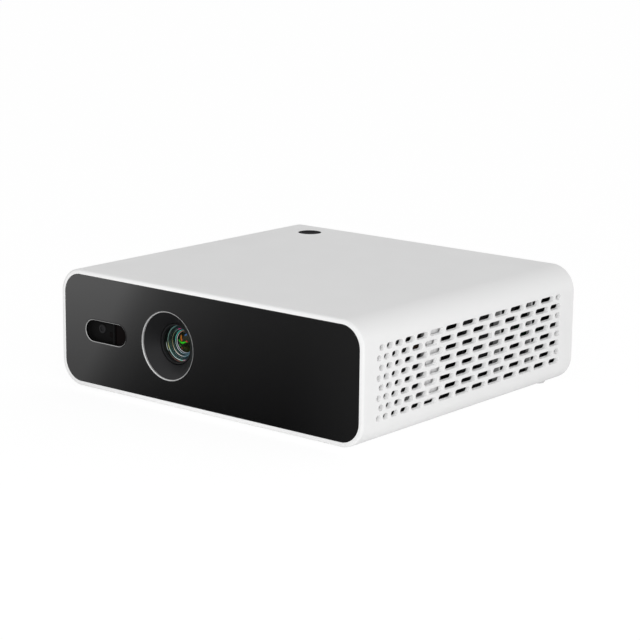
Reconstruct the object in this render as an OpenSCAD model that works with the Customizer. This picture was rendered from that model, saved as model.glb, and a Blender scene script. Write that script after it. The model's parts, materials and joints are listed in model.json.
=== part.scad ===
// Small projector with a built-in disc player.
// A one-piece sleeve with large rounded long edges holds a black front panel with the lens and the
// sensor window, a chassis with the light engine and the electronics, and a slim tray drive whose
// mouth is in the left side.
// Origin: on the table under the middle of the housing. Front faces -Y, +X is right, +Z is up.

/* [Housing] */
// Width of the housing
body_w = 194; // [190:1:220]
// Depth of the housing, front to rear
body_d = 174; // [174:1:200]
// Height of the housing without its feet
body_h = 60; // [58:1:70]
// Wall thickness of the sleeve
wall = 2.4; // [2:0.1:2.8]
// Radius of the sleeve's long edges
edge_r = 13; // [11:0.5:14]
// Radius of the sleeve's front rim
rim_r = 1.3; // [0.6:0.1:1.6]
// Height of the feet
foot_h = 2; // [1.5:0.25:4]
// Radius of a foot where it meets the sleeve
foot_r = 4; // [3.5:0.25:5]

/* [Vent slots] */
// Rows of slots on the right side
vent_rows = 8; // [4:1:8]
// Distance from one row to the next
vent_row_pitch = 4.7; // [4.2:0.1:4.9]
// Height of a slot
vent_h = 2.8; // [2:0.1:3]
// Web left between two slots of a row
vent_web = 1.9; // [1.4:0.1:2.2]
// Distance from the front rim to the first slot
vent_first = 10; // [8:0.5:14]
// How much later every other row starts
vent_shift = 1.7; // [0:0.1:3]
// Pitch of the first slots of a row
vent_pitch_first = 5.1; // [5:0.1:7]
// Growth of the pitch for each millimetre away from the front
vent_growth = 0.18; // [0.1:0.01:0.25]
// Largest pitch in a row
vent_pitch_max = 13.5; // [10:0.5:16]
// Distance from the rear edge to the end of every row
vent_rear_margin = 12.5; // [10:0.5:20]

/* [Front] */
// Thickness of the front panel
panel_t = 2.2; // [1.8:0.1:2.6]
// How far the front panel lies behind the rim
panel_recess = 0.2; // [0.1:0.05:0.6]
// Distance of the lens axis from the left side
lens_from_left = 73.1; // [70:0.1:77]
// Outer radius of the lens trim ring
lens_ring_r = 17.5; // [16.5:0.25:19]
// Width and depth of the polished bevels
bevel = 0.7; // [0.4:0.1:0.9]
// Distance of the middle of the sensor window from the left side
window_from_left = 31; // [29:0.5:34]
// Outer length of the window trim
window_len = 29; // [27:0.5:32]
// Outer radius of the window trim's round ends
window_r = 6.05; // [5.5:0.05:7]
// Depth of the sensor pocket
pocket_depth = 3; // [2:0.25:4]

/* [Lens] */
// Radius of the lens carrier
carrier_r = 10; // [9.8:0.1:10.4]
// Depth of the carrier's front ring behind the front plane
lens_depth = 6.5; // [6:0.25:7.5]
// Wall of the fixed lens barrel
barrel_wall = 1.94; // [1.6:0.02:2.2]
// Tooth size of the focus gears
gear_module = 0.6; // [0.58:0.01:0.62]
// Teeth on the focus ring
ring_teeth = 52; // [50:1:54]
// Teeth on the focus pinion
pinion_teeth = 12; // [12:1:14]
// Turn of the focus ring from end to end, in degrees
focus_turn = 100; // [80:5:100]
// Travel of the lens carrier from end to end
focus_travel = 2.5; // [1.5:0.25:2.5]

/* [Power button] */
// Radius of the power button
button_r = 6.4; // [5.5:0.1:7.5]
// Distance of the button from the left side
button_from_left = 31.5; // [28:0.5:36]
// Distance of the button from the rear edge
button_from_rear = 15.5; // [13:0.5:20]
// Travel of the power button
button_travel = 0.6; // [0.4:0.1:0.8]

/* [Disc drive] */
// Width of the drive along the side of the housing
drive_w = 128; // [128:0.5:128]
// Height of the drive
drive_h = 12.7; // [12.7:0.1:13.5]
// Thickness of the drive's sheet metal
sheet = 0.8; // [0.6:0.1:1]
// Radius of the well that the disc lies in
well_r = 60.6; // [60.4:0.1:61]
// Travel of the tray
tray_travel = 120; // [100:5:120]
// Travel of the optical sled
sled_travel = 34; // [30:1:35]

/* [Cooling] */
// Side of the square cooling fan
fan_size = 45; // [40:1:50]
// Thickness of the cooling fan
fan_t = 12; // [10:0.5:13]
// Number of fan blades
fan_blades = 7; // [5:1:9]
// Number of fins in the stack
fin_count = 15; // [10:1:18]
// Radius of a heat pipe
pipe_r = 2; // [1.5:0.1:2.5]

/* [Hidden] */
$fn = 48;

// A cutter runs this far past the face that it opens.
cut = 1;
// Running clearance of a shaft in its bore, on the radius
run_fit = 0.05;
// Clearance of a piece that is pushed into its seat and stays there
seat_fit = 0.02;
// Clearance round a moving cap, key or tray front
move_gap = 0.3;

// The housing's outer faces and inner faces
left_x = -body_w / 2;
right_x = body_w / 2;
front_y = -body_d / 2;
rear_y = body_d / 2;
top_z = foot_h + body_h;
mid_z = foot_h + body_h / 2;
floor_z = foot_h + wall;
ceil_z = top_z - wall;
in_w = body_w - 2 * wall;
in_h = body_h - 2 * wall;
in_r = edge_r - wall;
flat_h = body_h - 2 * edge_r;
lens_x = left_x + lens_from_left;
window_x = left_x + window_from_left;

// Front and rear panels, and the screw channels that run between them in the four corners
panel_gap = 0.1;
panel_y = front_y + panel_recess;
panel_back = panel_recess + panel_t;
rear_panel_t = 2.4;
rear_seat_y = rear_y - rear_panel_t;
channel_r = 3.4;
channel_seat = 3;
channel_bore_r = 1.3;
peg_len = 5;
channel_x = in_w / 2 - in_r + (in_r - channel_seat) * cos(45);
channel_dz = in_h / 2 - in_r + (in_r - channel_seat) * sin(45);
panel_screw_r = 1.25;
screw_head_r = 2.6;
screw_head_h = 1.4;
panel_screw_len = 8;
screw_gap = 0.15;
hex_depth = 0.9;
panel_hex_r = 1.1;
base_hex_r = 0.9;

// Sensor window: its trim, and what lies behind it, with places counted from its middle, downwards
window_front = 0.05;
pocket_floor = 1;
pocket_flange = 2.5;
divider_x = 4;
divider_t = 1;
camera_at = [-5, -1];
camera_r = 2.2;
camera_lens_r = 1.3;
camera_reach = 1.6;
camera_block = 8.5;
camera_depth = 4.5;
sensor_at = [-0.2, 0.2];
sensor_size = [3.3, 2.2];
sensor_gap = 0.1;
sensor_reach = 1.2;
sensor_board = [4.2, 5.6];
filter_t = 1.2;

// Stiffening ribs inside the right wall, as distances from the front, with their depths and how far
// they and the side bracket run past the flat of the side
rib_t = 1;
rib_places = [111.3, 138.5];
rib_depths = [3.9, 2.4];
rib_over = 2;
rib_h = flat_h + 2 * rib_over;

// Slots, and how much deeper the wall lies where the outermost ones pass the flat of the side
vent_stop = body_d - vent_rear_margin;
vent_over = max(0, (vent_rows - 1) / 2 * vent_row_pitch + vent_h / 2 - flat_h / 2);
vent_depth = wall + in_r - sqrt(in_r * in_r - vent_over * vent_over) + seat_fit;
function vent_pitch(s) = min(vent_pitch_max, vent_pitch_first + vent_growth * max(0, s - vent_first));
function vent_starts(s) = s > vent_stop - vent_h ? [] : concat([s], vent_starts(s + vent_pitch(s)));

// Chassis on the sleeve's floor
sheet_t = 1.2;
chassis_z = floor_z + sheet_t;
chassis_w = body_w - 2 * edge_r - 2;
chassis_front = front_y + 5;
chassis_rear = rear_seat_y - 1;
base_screw_r = 1.4;
base_head_r = 2.8;
base_boss_r = 3;
base_boss_h = 2.6;
base_screw_x = chassis_w / 2 - 6;
base_screw_front = front_y + 14;
base_screw_rear = rear_y - 24;
insert_r = 6;
insert_h = 9;
insert_bore_r = 2.6;
insert_flange = 2;
insert_flange_h = 1.4;
standoff_r = 2.5;
post_inset = 4;
leg_w = 6;
leg_d = 10;
leg_inset = 8;

// Feet: how far each pair stands in from the sides and from the front or rear edge
front_foot_inset = [23, 22];
rear_foot_inset = [15, 7];
foot_taper = 0.9;
foot_chamfer = 0.4;

// Sled, its two rods and the lead screw, along the traverse frame's axis
traverse_turn = 45;
traverse_z = 1.7;
traverse_t = 1;
traverse_top = traverse_z + traverse_t;
rod_r = 1;
rod_z = traverse_top + 1.7;
lug_top = rod_z + 1.5;
lug_t = 2;
lug_w = 4;
sled_u = 24;
sled_half_u = 8;
sled_half_v = 11;
rod_v = sled_half_v - 2;
rod_u0 = sled_u - sled_half_u - 3;
rod_u1 = sled_u + sled_travel + sled_half_u + 3.5;
screw_r = 1.1;
screw_v = -15.5;
screw_u0 = 10;
screw_u1 = rod_u1 - 8.5;
screw_groove = 1.5;

// The traverse plate, and how far its corner reaches along the tray
plate_u0 = -16;
plate_u1 = rod_u1 + 2;
plate_v0 = -19;
plate_v1 = sled_half_v + 1.5;
plate_slant = [9, 6];
plate_gap = 0.2;
traverse_reach = (plate_u1 - plate_v0 - plate_slant.y + 2 * plate_gap) * cos(45);

// Disc drive: local x runs inwards from the left side, y is across the tray, z is up from its underside
mouth_gap = 0.4;
mouth_r = 1.4;
drive_z = foot_h + edge_r + 0.8;
drive_top = drive_z + drive_h;
drive_cy = rear_seat_y - 1.5 - drive_w / 2;
bezel_t = wall;
bezel_h = drive_h - 0.4;
bezel_z = (drive_h - bezel_h) / 2;
case_x0 = wall + 0.3;
disc_x = bezel_t + 1.6 + well_r;
tray_end = disc_x + max(well_r, traverse_reach) + 1.4;
tray_len = tray_end - bezel_t;
case_len = tray_end + 0.8 + sheet - case_x0;
drive_x1 = left_x + case_x0 + case_len;
tray_w = drive_w - 2 * sheet - 1;
rail_w = 2.2;
rail_gap = 0.35;
rail_groove = 0.6;
tray_low_w = tray_w - 2 * (rail_w + rail_gap + 0.15);
tray_z = 1.6;
tray_step_z = 5.2;
well_z = 6.4;
tray_top_z = 8.6;
rail_len = 0.6 * tray_travel;
guide_h = 0.5;
guide_t = 1.6;
rail_z = sheet + guide_h + run_fit;
rail_top = tray_step_z - 0.1;
rail_y = tray_low_w / 2 + rail_gap + rail_w / 2;
motor_r = 11.5;
motor_top = traverse_top + 2.5;
platter_r = 13;
platter_z = motor_top + 0.4;
platter_top = platter_z + 1.6;
hub_r = 7.4;
shaft_r = 1;
eject_y = 48;
eject_len = 9;
eject_r = 1.6;
eject_travel = 0.8;
pin_hole_r = 0.6;

// Deck over the drive, and the boards
deck_z = drive_top;
deck_top = deck_z + sheet_t;
standoff_h = 4;
board_t = 1.6;
board_z = deck_top + standoff_h;
board_top = board_z + board_t;
board_x0 = left_x + 41;
board_w = 84;
board_d = 70;
board_y1 = rear_seat_y - 1;
board_y0 = board_y1 - board_d;
port_end = rear_y - 0.8;
port_gap = 0.3;
panel_seat_gap = 0.4;
hdmi_w = 15;
hdmi_h = 5.6;
hdmi_x = board_x0 + 12;
usb_w = 13.2;
usb_h = 5.8;
usb_x = [board_x0 + 34, board_x0 + 52];
hdmi_depth = 12;
usb_depth = 14;
tongue_w = 11;
shell_t = 0.5;
socket_wall = 1.5;
audio_w = 6.4;
audio_h = 5.4;
audio_x = board_x0 + 69;
audio_bore_r = 1.8;
audio_depth = 11;
audio_back = 3;

// Power board with the inlet, behind the fan
power_x0 = right_x - 46;
power_x1 = right_x - 12;
power_y0 = rear_seat_y - 22;
power_z = mid_z - 6;
inlet_x = right_x - 30;
inlet_w = 9;
inlet_h = 11;
inlet_bore_r = 2.85;
inlet_pin_r = 1;
inlet_depth = 14;

// Lens and light engine, with depths counted from the front plane
throat_gap = 0.4;
shroud_wall = 1.2;
shroud_flange_r = lens_ring_r + 3.5;
ring_back = 1.2;
retainer_h = 1.5;
retainer_in = carrier_r - 1;
glass_r = carrier_r - 0.6;
glass_t = 4.6;
carrier_front = lens_depth + retainer_h;
carrier_back = lens_depth + 13;
barrel_in = carrier_r + run_fit + 0.01;
barrel_r = barrel_in + barrel_wall;
barrel_front = lens_depth + 3;
arm_t = 1.7;
engine_d0 = 24;
engine_d1 = 40.5;
barrel_flange_r = barrel_r + 3;
barrel_flange_t = 1.6;
shoulder_r = barrel_r + 1.2;
focus_d0 = barrel_front + arm_t + 0.4;
focus_d1 = focus_d0 + 8;
gear_d0 = focus_d0 + 2.6;
gear_w = 4;
focus_in = barrel_r + run_fit + 0.01;
ring_pitch_r = gear_module * ring_teeth / 2;
pinion_pitch_r = gear_module * pinion_teeth / 2;
gear_backlash = 0.1;
gear_distance = ring_pitch_r + pinion_pitch_r;
focus_body_r = focus_in + 2.3;
cam_r = focus_in + 1.6;
follower_r = 0.9;
follower_gap = 0.25;
follower_d = gear_d0 + 1.9;
follower_tip = cam_r - 0.4;
pinion_angle = -45;
focus_motor_r = 4;
focus_motor_d0 = panel_back + 1.7;
focus_motor_d1 = gear_d0 - 0.8;
motor_shaft_r = 0.75;
engine_wall = 1.6;
engine_h = 22;
engine_x0 = lens_x - 9;
engine_x1 = lens_x + 52;
engine_z0 = mid_z - engine_h / 2;
engine_z1 = mid_z + engine_h / 2;
prism_size = 12.6;
lamp_port_r = 5;
red_x = lens_x + 24;
blue_x = lens_x + 40;
engine_mid_d = (engine_d0 + engine_d1) / 2;
lamp_board = 13;
lamp_board_t = 1.6;

// Fan and fins inside the right wall
fan_x1 = right_x - 13;
fan_x0 = fan_x1 - fan_t;
fan_y = rear_y - 57;
fan_bore_r = fan_size / 2 - 1.4;
fan_hole_inset = 4;
fan_hole_r = 2.1;
fan_corner_r = 3;
fan_arm_w = 2;
fan_bearing_r = 3;
rotor_wall = 1.4;
blade_t = 0.9;
blade_tilt = 48;
fan_hub_r = 11.3;
fan_base_t = 2;
fan_tip_gap = 0.6;
fin_x1 = fan_x0 - 1;
fin_x0 = fin_x1 - 18;
fin_t = 0.6;
fin_y0 = fan_y - fan_size / 2;
fin_y1 = fan_y + fan_size / 2;
fin_z0 = chassis_z;
fin_z1 = ceil_z - 6;
fin_base_t = 1.6;
pipe_x = fin_x1 - 5;
bend_r = 6;

// Battery and speakers
battery_y0 = 10;
battery_y1 = rear_y - 9;
battery_x0 = left_x + 24;
battery_x1 = drive_x1 - 10;
battery_gap = 0.4;
battery_top = drive_z - battery_gap;
speaker_w = 16;
speaker_d = 32;
speaker_h = flat_h;
speaker_y0 = front_y + 6;
speaker_z = foot_h + edge_r;
speaker_gap = 1;
cone_r = speaker_h / 2 - 2;
cone_dish_r = cone_r - 1.5;
cone_dish_depth = 9.5;
cone_proud = 1.5;
speaker_leg = [4, 10];
speaker_leg_lead = 2;
bracket_y0 = front_y + 51.7;
bracket_w = 11.8;
bracket_gap = 1;
bracket_t = 3;
bracket_arm = 14;
bracket_arm_t = 2;
bracket_leg_t = 2.5;

// Power button, its switch and the post that carries the switch
button_x = left_x + button_from_left;
button_y = rear_y - button_from_rear;
button_recess = 0.1;
button_flange = 1.2;
switch_h = 4;
plunger_r = 1.7;
plunger_top = ceil_z - 4.6;
switch_top = plunger_top - 1.2;
post_r = 4.5;
post_base = 13;
post_base_h = 1.8;
post_wall = 1.4;
cap_gap = 0.25;
cap_flange_h = 1.25;
stem_r = 2;
cap_dish_r = 60;
cap_dish = 0.35;
switch_w = 6;

// ---------------------------------------------------------------- shared shapes

// Block between two opposite corners
module block(low, high) {
    translate(low) cube(high - low);
}

// Rectangle w by h with corner radius r, centred
module rounded_rect(w, h, r) {
    square([w - 2 * r, h], center = true);
    square([w, h - 2 * r], center = true);
    for (x = [-1, 1], y = [-1, 1])
        translate([x * (w / 2 - r), y * (h / 2 - r)]) circle(r);
}

// Stadium with the given overall length and end radius, centred, along x
module stadium(len, r) {
    square([len - 2 * r, 2 * r], center = true);
    for (x = [-1, 1])
        translate([x * (len / 2 - r), 0]) circle(r);
}

// Stadium-shaped funnel: end radius r0 at its start and r1 at height h, with the same straight part
module stadium_funnel(straight, r0, r1, h) {
    for (x = [-1, 1])
        translate([x * straight / 2, 0, 0]) cylinder(r1 = r0, r2 = r1, h = h);
    translate([-straight / 2, 0, 0]) rotate([90, 0, 90]) linear_extrude(straight)
        polygon([[-r0, 0], [r0, 0], [r1, h], [-r1, h]]);
}

// Bar with the sleeve's kind of cross-section, run backwards from y0
module sleeve_bar(w, h, r, y0, len) {
    translate([0, y0, mid_z]) rotate([-90, 0, 0]) linear_extrude(len) rounded_rect(w, h, r);
}

// Places its children on the lens axis at depth d, with local z running to the rear
module on_lens(d) {
    translate([lens_x, front_y + d, mid_z]) rotate([-90, 0, 0]) children();
}

// The same on the axis of the sensor window; local -y is up
module on_window(d) {
    translate([window_x, front_y + d, mid_z]) rotate([-90, 0, 0]) children();
}

// Drive frame: origin at the left side of the housing, in the middle of the drive's underside
module in_drive() {
    translate([left_x, drive_cy, drive_z]) children();
}

// Traverse frame: origin on the spindle axis, local x along the sled's travel
module on_traverse() {
    in_drive() translate([disc_x, 0, 0]) rotate([0, 0, traverse_turn]) children();
}

// Tube, from z = 0 up
module tube(r_out, r_in, h) {
    rotate_extrude() translate([r_in, 0]) square([r_out - r_in, h]);
}

// Solid of a lens: a disc of radius r and edge thickness t with domes of radius dome on both sides
module lens_solid(r, t, dome) {
    sag = dome - sqrt(dome * dome - r * r);
    intersection() {
        translate([0, 0, -sag]) cylinder(r = r, h = t + 2 * sag);
        translate([0, 0, dome - sag]) sphere(dome, $fn = 96);
        translate([0, 0, t + sag - dome]) sphere(dome, $fn = 96);
    }
}

// The four screw channels' places
module at_channels() {
    for (x = [-1, 1], z = [-1, 1])
        translate([x * channel_x, 0, mid_z + z * channel_dz]) children();
}

// The four base screws' places
module at_base_screws() {
    for (x = [-1, 1], y = [base_screw_front, base_screw_rear])
        translate([x * base_screw_x, y, 0]) children();
}

// ---------------------------------------------------------------- housing

// Section of the sleeve's front edge: x from the edge's centre line outwards, y to the rear
module rim_section() {
    square([edge_r - rim_r, rim_r]);
    intersection() {
        translate([edge_r - rim_r, rim_r]) circle(rim_r);
        translate([edge_r - rim_r, 0]) square([rim_r, rim_r]);
    }
}

// Front slice of the sleeve with the rounded rim, built from four corners, four edges and a core
module rim_slice() {
    core_w = body_w - 2 * edge_r;
    core_h = body_h - 2 * edge_r;
    translate([0, front_y, mid_z]) rotate([-90, 0, 0]) {
        translate([-core_w / 2, -core_h / 2, 0]) cube([core_w, core_h, rim_r]);
        for (turn = [0, 180]) rotate([0, 0, turn]) {
            translate([core_w / 2, core_h / 2, 0]) rotate_extrude(angle = 90) rim_section();
            translate([-core_w / 2, core_h / 2, 0]) rotate([0, 0, 90])
                rotate_extrude(angle = 90) rim_section();
            translate([core_w / 2, core_h / 2, 0]) rotate([90, 0, 0])
                linear_extrude(core_h) rim_section();
            translate([-core_w / 2, core_h / 2, 0]) rotate([90, 0, 90])
                linear_extrude(core_w) rim_section();
        }
    }
}

// Slots of the given rows: x is the distance from the front, y the height over mid-height
module vent_field(rows) {
    for (row = rows) {
        starts = vent_starts(vent_first + (row % 2 == 0 ? vent_shift : 0));
        for (s = starts) {
            end = min(s + vent_pitch(s) - vent_web, vent_stop);
            translate([(s + end) / 2, ((vent_rows - 1) / 2 - row) * vent_row_pitch])
                stadium(max(end - s, vent_h + 0.02), vent_h / 2);
        }
    }
}

module vent_cutter(x0, rows) {
    translate([x0, front_y, mid_z]) rotate([90, 0, 90]) linear_extrude(vent_depth + cut) vent_field(rows);
}

module housing_sleeve() {
    // The left side has only the rows that clear the tray's mouth.
    left_rows = [for (row = [0:vent_rows - 1])
        if (mid_z + ((vent_rows - 1) / 2 - row) * vent_row_pitch - vent_h / 2 > drive_top + 2) row];
    color("white") difference() {
        union() {
            difference() {
                union() {
                    sleeve_bar(body_w, body_h, edge_r, front_y + rim_r, body_d - rim_r);
                    rim_slice();
                }
                sleeve_bar(in_w, in_h, in_r, front_y - cut, body_d + 2 * cut);
            }
            at_channels() translate([0, front_y + panel_back, 0]) rotate([-90, 0, 0])
                cylinder(r = channel_r, h = rear_seat_y - front_y - panel_back);
            for (i = [0:len(rib_places) - 1])
                translate([right_x - wall - rib_depths[i], front_y + rib_places[i], mid_z - rib_h / 2])
                    cube([rib_depths[i] + wall / 2, rib_t, rib_h]);
        }
        at_channels() translate([0, front_y, 0]) rotate([-90, 0, 0])
            cylinder(r = channel_bore_r, h = body_d);
        vent_cutter(right_x - vent_depth, [0:vent_rows - 1]);
        vent_cutter(left_x - cut, left_rows);
        translate([left_x - cut, drive_cy, drive_z + drive_h / 2]) rotate([90, 0, 90])
            linear_extrude(wall + 2 * cut)
                rounded_rect(drive_w + 2 * mouth_gap, drive_h + 2 * mouth_gap, mouth_r);
        translate([button_x, button_y, ceil_z - cut]) cylinder(r = button_r, h = wall + 2 * cut);
        at_base_screws() {
            translate([0, 0, foot_h - cut]) cylinder(r = base_screw_r + 0.1, h = wall + 2 * cut);
            translate([0, 0, foot_h]) cylinder(r1 = base_head_r + 0.1, r2 = base_screw_r + 0.1,
                h = base_head_r - base_screw_r);
        }
        translate([0, 0, foot_h - cut]) cylinder(r = insert_r + seat_fit, h = wall + 2 * cut);
    }
}

module front_panel() {
    color([0.06, 0.06, 0.07]) difference() {
        union() {
            sleeve_bar(in_w - 2 * panel_gap, in_h - 2 * panel_gap, in_r - panel_gap, panel_y, panel_t);
            at_channels() translate([0, panel_y + panel_t - cut, 0]) rotate([-90, 0, 0])
                cylinder(r = channel_bore_r - run_fit, h = cut + peg_len);
        }
        on_lens(-cut) cylinder(r = lens_ring_r + seat_fit, h = panel_back + 2 * cut);
        on_window(-cut) linear_extrude(panel_back + 2 * cut) stadium(window_len + 2 * seat_fit,
            window_r + seat_fit);
    }
}

// Polished ring with a bevel that falls inwards
module lens_trim_ring() {
    color("gainsboro") on_lens(0) rotate_extrude($fn = 96)
        polygon([[lens_ring_r, 0.05], [lens_ring_r, ring_back], [lens_ring_r - bevel, ring_back],
            [lens_ring_r - bevel, bevel], [lens_ring_r - 0.05, 0.05]]);
}

module window_trim() {
    straight = window_len - 2 * window_r;
    color("gainsboro") on_window(window_front) difference() {
        linear_extrude(ring_back) stadium(window_len, window_r);
        stadium_funnel(straight, window_r - 0.03, window_r - bevel, bevel);
        translate([0, 0, bevel - 0.01]) linear_extrude(ring_back)
            stadium(straight + 2 * (window_r - bevel), window_r - bevel);
    }
}

// Black funnel from the trim ring down to the lens, with a flange behind the front panel
module lens_shroud() {
    throat_r = carrier_r + throat_gap;
    color([0.05, 0.05, 0.05]) on_lens(0) rotate_extrude($fn = 96)
        polygon([[lens_ring_r - bevel, ring_back], [lens_ring_r, ring_back],
            [lens_ring_r, panel_back], [shroud_flange_r, panel_back],
            [shroud_flange_r, panel_back + shroud_wall], [lens_ring_r - 1.6, panel_back + shroud_wall],
            [throat_r + shroud_wall, lens_depth], [throat_r + shroud_wall, lens_depth + 1.6],
            [throat_r, lens_depth + 1.6], [throat_r, lens_depth - 0.4]]);
}

// Stadium pocket behind the window, with openings for the camera and the range sensor
module sensor_bezel() {
    inner_r = window_r - bevel;
    straight = window_len - 2 * window_r;
    hole_h = pocket_depth + 2 * cut;
    color([0.05, 0.05, 0.05]) on_window(window_front + ring_back) difference() {
        union() {
            linear_extrude(pocket_depth) stadium(window_len, window_r);
            translate([0, 0, panel_back - window_front - ring_back]) linear_extrude(pocket_floor)
                stadium(window_len + 2 * pocket_flange, window_r + pocket_flange);
        }
        difference() {
            translate([0, 0, -cut]) linear_extrude(pocket_depth - pocket_floor + cut)
                stadium(straight + 2 * inner_r, inner_r);
            translate([divider_x, -window_r, -cut]) cube([divider_t, 2 * window_r, hole_h]);
        }
        translate([camera_at.x, camera_at.y, -cut]) cylinder(r = camera_r + run_fit, h = hole_h);
        translate([sensor_at.x - sensor_gap, sensor_at.y - sensor_gap, -cut])
            cube([sensor_size.x + 2 * sensor_gap, sensor_size.y + 2 * sensor_gap, hole_h]);
    }
}

// Places its children on the back of the pocket
module behind_pocket() {
    on_window(window_front + ring_back + pocket_depth) children();
}

module focus_camera() {
    color([0.12, 0.12, 0.13]) behind_pocket() translate([camera_at.x, camera_at.y, 0]) {
        translate([0, 0, camera_depth / 2]) cube([camera_block, camera_block, camera_depth], center = true);
        translate([0, 0, -camera_reach]) tube(camera_r, camera_lens_r, camera_reach + sensor_gap);
        translate([0, 0, -camera_reach + 0.6])
            cylinder(r = camera_lens_r + seat_fit, h = camera_reach - 0.6 + sensor_gap);
    }
}

module range_sensor() {
    color([0.1, 0.07, 0.07]) behind_pocket() {
        translate([sensor_at.x, sensor_at.y, -sensor_reach])
            cube([sensor_size.x, sensor_size.y, sensor_reach + sensor_gap]);
        translate([sensor_at.x - 0.35, sensor_at.y - 1.7, 0])
            cube([sensor_board.x, sensor_board.y, sensor_reach]);
    }
}

// Dark filter over the remote receiver, in the right third of the pocket
module ir_filter() {
    inner_r = window_r - bevel - seat_fit;
    straight = window_len - 2 * window_r;
    color([0.09, 0.03, 0.04]) behind_pocket() translate([0, 0, -pocket_floor - filter_t]) intersection() {
        linear_extrude(filter_t) stadium(straight + 2 * inner_r, inner_r);
        translate([divider_x + divider_t + seat_fit, -window_r, -cut])
            cube([window_len, 2 * window_r, filter_t + 2 * cut]);
    }
}

module port_cut(x, z0, w, h) {
    translate([x - w / 2 - port_gap, rear_seat_y - cut, z0 - port_gap])
        cube([w + 2 * port_gap, rear_panel_t + 2 * cut, h + 2 * port_gap]);
}

module rear_panel() {
    color([0.93, 0.93, 0.93]) difference() {
        sleeve_bar(in_w - 2 * panel_gap, in_h - 2 * panel_gap, in_r - panel_gap, rear_seat_y,
            rear_panel_t);
        port_cut(hdmi_x, board_top, hdmi_w, hdmi_h);
        for (x = usb_x) port_cut(x, board_top, usb_w, usb_h);
        translate([audio_x, rear_seat_y - cut, board_top + audio_h / 2]) rotate([-90, 0, 0])
            cylinder(r = audio_h / 2 + port_gap, h = rear_panel_t + 2 * cut);
        translate([inlet_x, rear_seat_y - cut, power_z + board_t + inlet_h / 2]) rotate([-90, 0, 0])
            cylinder(r = inlet_w / 2 + port_gap, h = rear_panel_t + 2 * cut);
        at_channels() {
            translate([0, rear_seat_y - cut, 0]) rotate([-90, 0, 0])
                cylinder(r = panel_screw_r + screw_gap, h = rear_panel_t + 2 * cut);
            translate([0, rear_y - screw_head_h - panel_gap, 0]) rotate([-90, 0, 0])
                cylinder(r = screw_head_r + screw_gap, h = screw_head_h + cut);
        }
    }
}

module rear_panel_screws() {
    color("dimgray") at_channels() translate([0, rear_y - panel_gap, 0]) rotate([90, 0, 0]) difference() {
        union() {
            cylinder(r = screw_head_r, h = screw_head_h);
            cylinder(r = panel_screw_r, h = screw_head_h + panel_screw_len);
        }
        translate([0, 0, -cut]) cylinder(r = panel_hex_r, h = cut + hex_depth, $fn = 6);
    }
}

// Foot: a turned rubber disc, narrower at the table, with a small chamfer
module foot() {
    tip_r = foot_r - foot_taper;
    rotate_extrude()
        polygon([[0, 0], [tip_r - foot_chamfer, 0], [tip_r, foot_chamfer], [foot_r, foot_h], [0, foot_h]]);
}

module rubber_feet() {
    color([0.8, 0.8, 0.8]) for (side = [-1, 1]) {
        translate([side * (right_x - front_foot_inset.x), front_y + front_foot_inset.y, 0]) foot();
        translate([side * (right_x - rear_foot_inset.x), rear_y - rear_foot_inset.y, 0]) foot();
    }
}

// ---------------------------------------------------------------- chassis

// Post under the drive: stands on the chassis and carries a corner of the drive
module drive_leg(x, y) {
    block([x - leg_w / 2, y - leg_d / 2, floor_z], [x + leg_w / 2, y + leg_d / 2, drive_z]);
}

module chassis() {
    color([0.25, 0.25, 0.27]) difference() {
        union() {
            block([-chassis_w / 2, chassis_front, floor_z], [chassis_w / 2, chassis_rear, chassis_z]);
            for (side = [-1, 1], x = [battery_x0 - 5, drive_x1 - leg_w / 2 - 1])
                drive_leg(x, drive_cy + side * (drive_w / 2 - leg_inset));
            at_base_screws() translate([0, 0, floor_z]) cylinder(r = base_boss_r, h = base_boss_h);
            // Pillar under the light engine and posts under the power board
            block([engine_x0 + 4, front_y + engine_d0 + 2, floor_z],
                [engine_x1 - 4, front_y + engine_d1 - 2, engine_z0]);
            for (x = [power_x0 + post_inset, power_x1 - post_inset],
                y = [power_y0 + post_inset, board_y1 - post_inset])
                translate([x, y, floor_z]) cylinder(r = standoff_r, h = power_z - floor_z);
        }
        block([engine_x0 + 8, front_y + engine_d0, chassis_z],
            [engine_x1 - 8, front_y + engine_d1, engine_z0 - 2]);
        at_base_screws() translate([0, 0, floor_z - cut])
            cylinder(r = base_screw_r + seat_fit, h = base_boss_h + 2 * cut);
        translate([0, 0, floor_z - cut]) cylinder(r = insert_r + seat_fit, h = sheet_t + 2 * cut);
    }
}

// Countersunk screws that hold the chassis to the sleeve
module base_screws() {
    color("silver") at_base_screws() translate([0, 0, foot_h]) difference() {
        union() {
            cylinder(r1 = base_head_r, r2 = base_screw_r, h = base_head_r - base_screw_r);
            cylinder(r = base_screw_r, h = wall + base_boss_h - 0.2);
        }
        translate([0, 0, -cut]) cylinder(r = base_hex_r, h = cut + hex_depth, $fn = 6);
    }
}

// Brass insert for a camera tripod, held by its flange on the chassis
module tripod_insert() {
    color("goldenrod") translate([0, 0, foot_h]) difference() {
        union() {
            cylinder(r = insert_r, h = insert_h);
            translate([0, 0, wall + sheet_t]) cylinder(r = insert_r + insert_flange, h = insert_flange_h);
        }
        translate([0, 0, -cut]) cylinder(r = insert_bore_r, h = insert_h - 1 + cut);
    }
}

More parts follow.
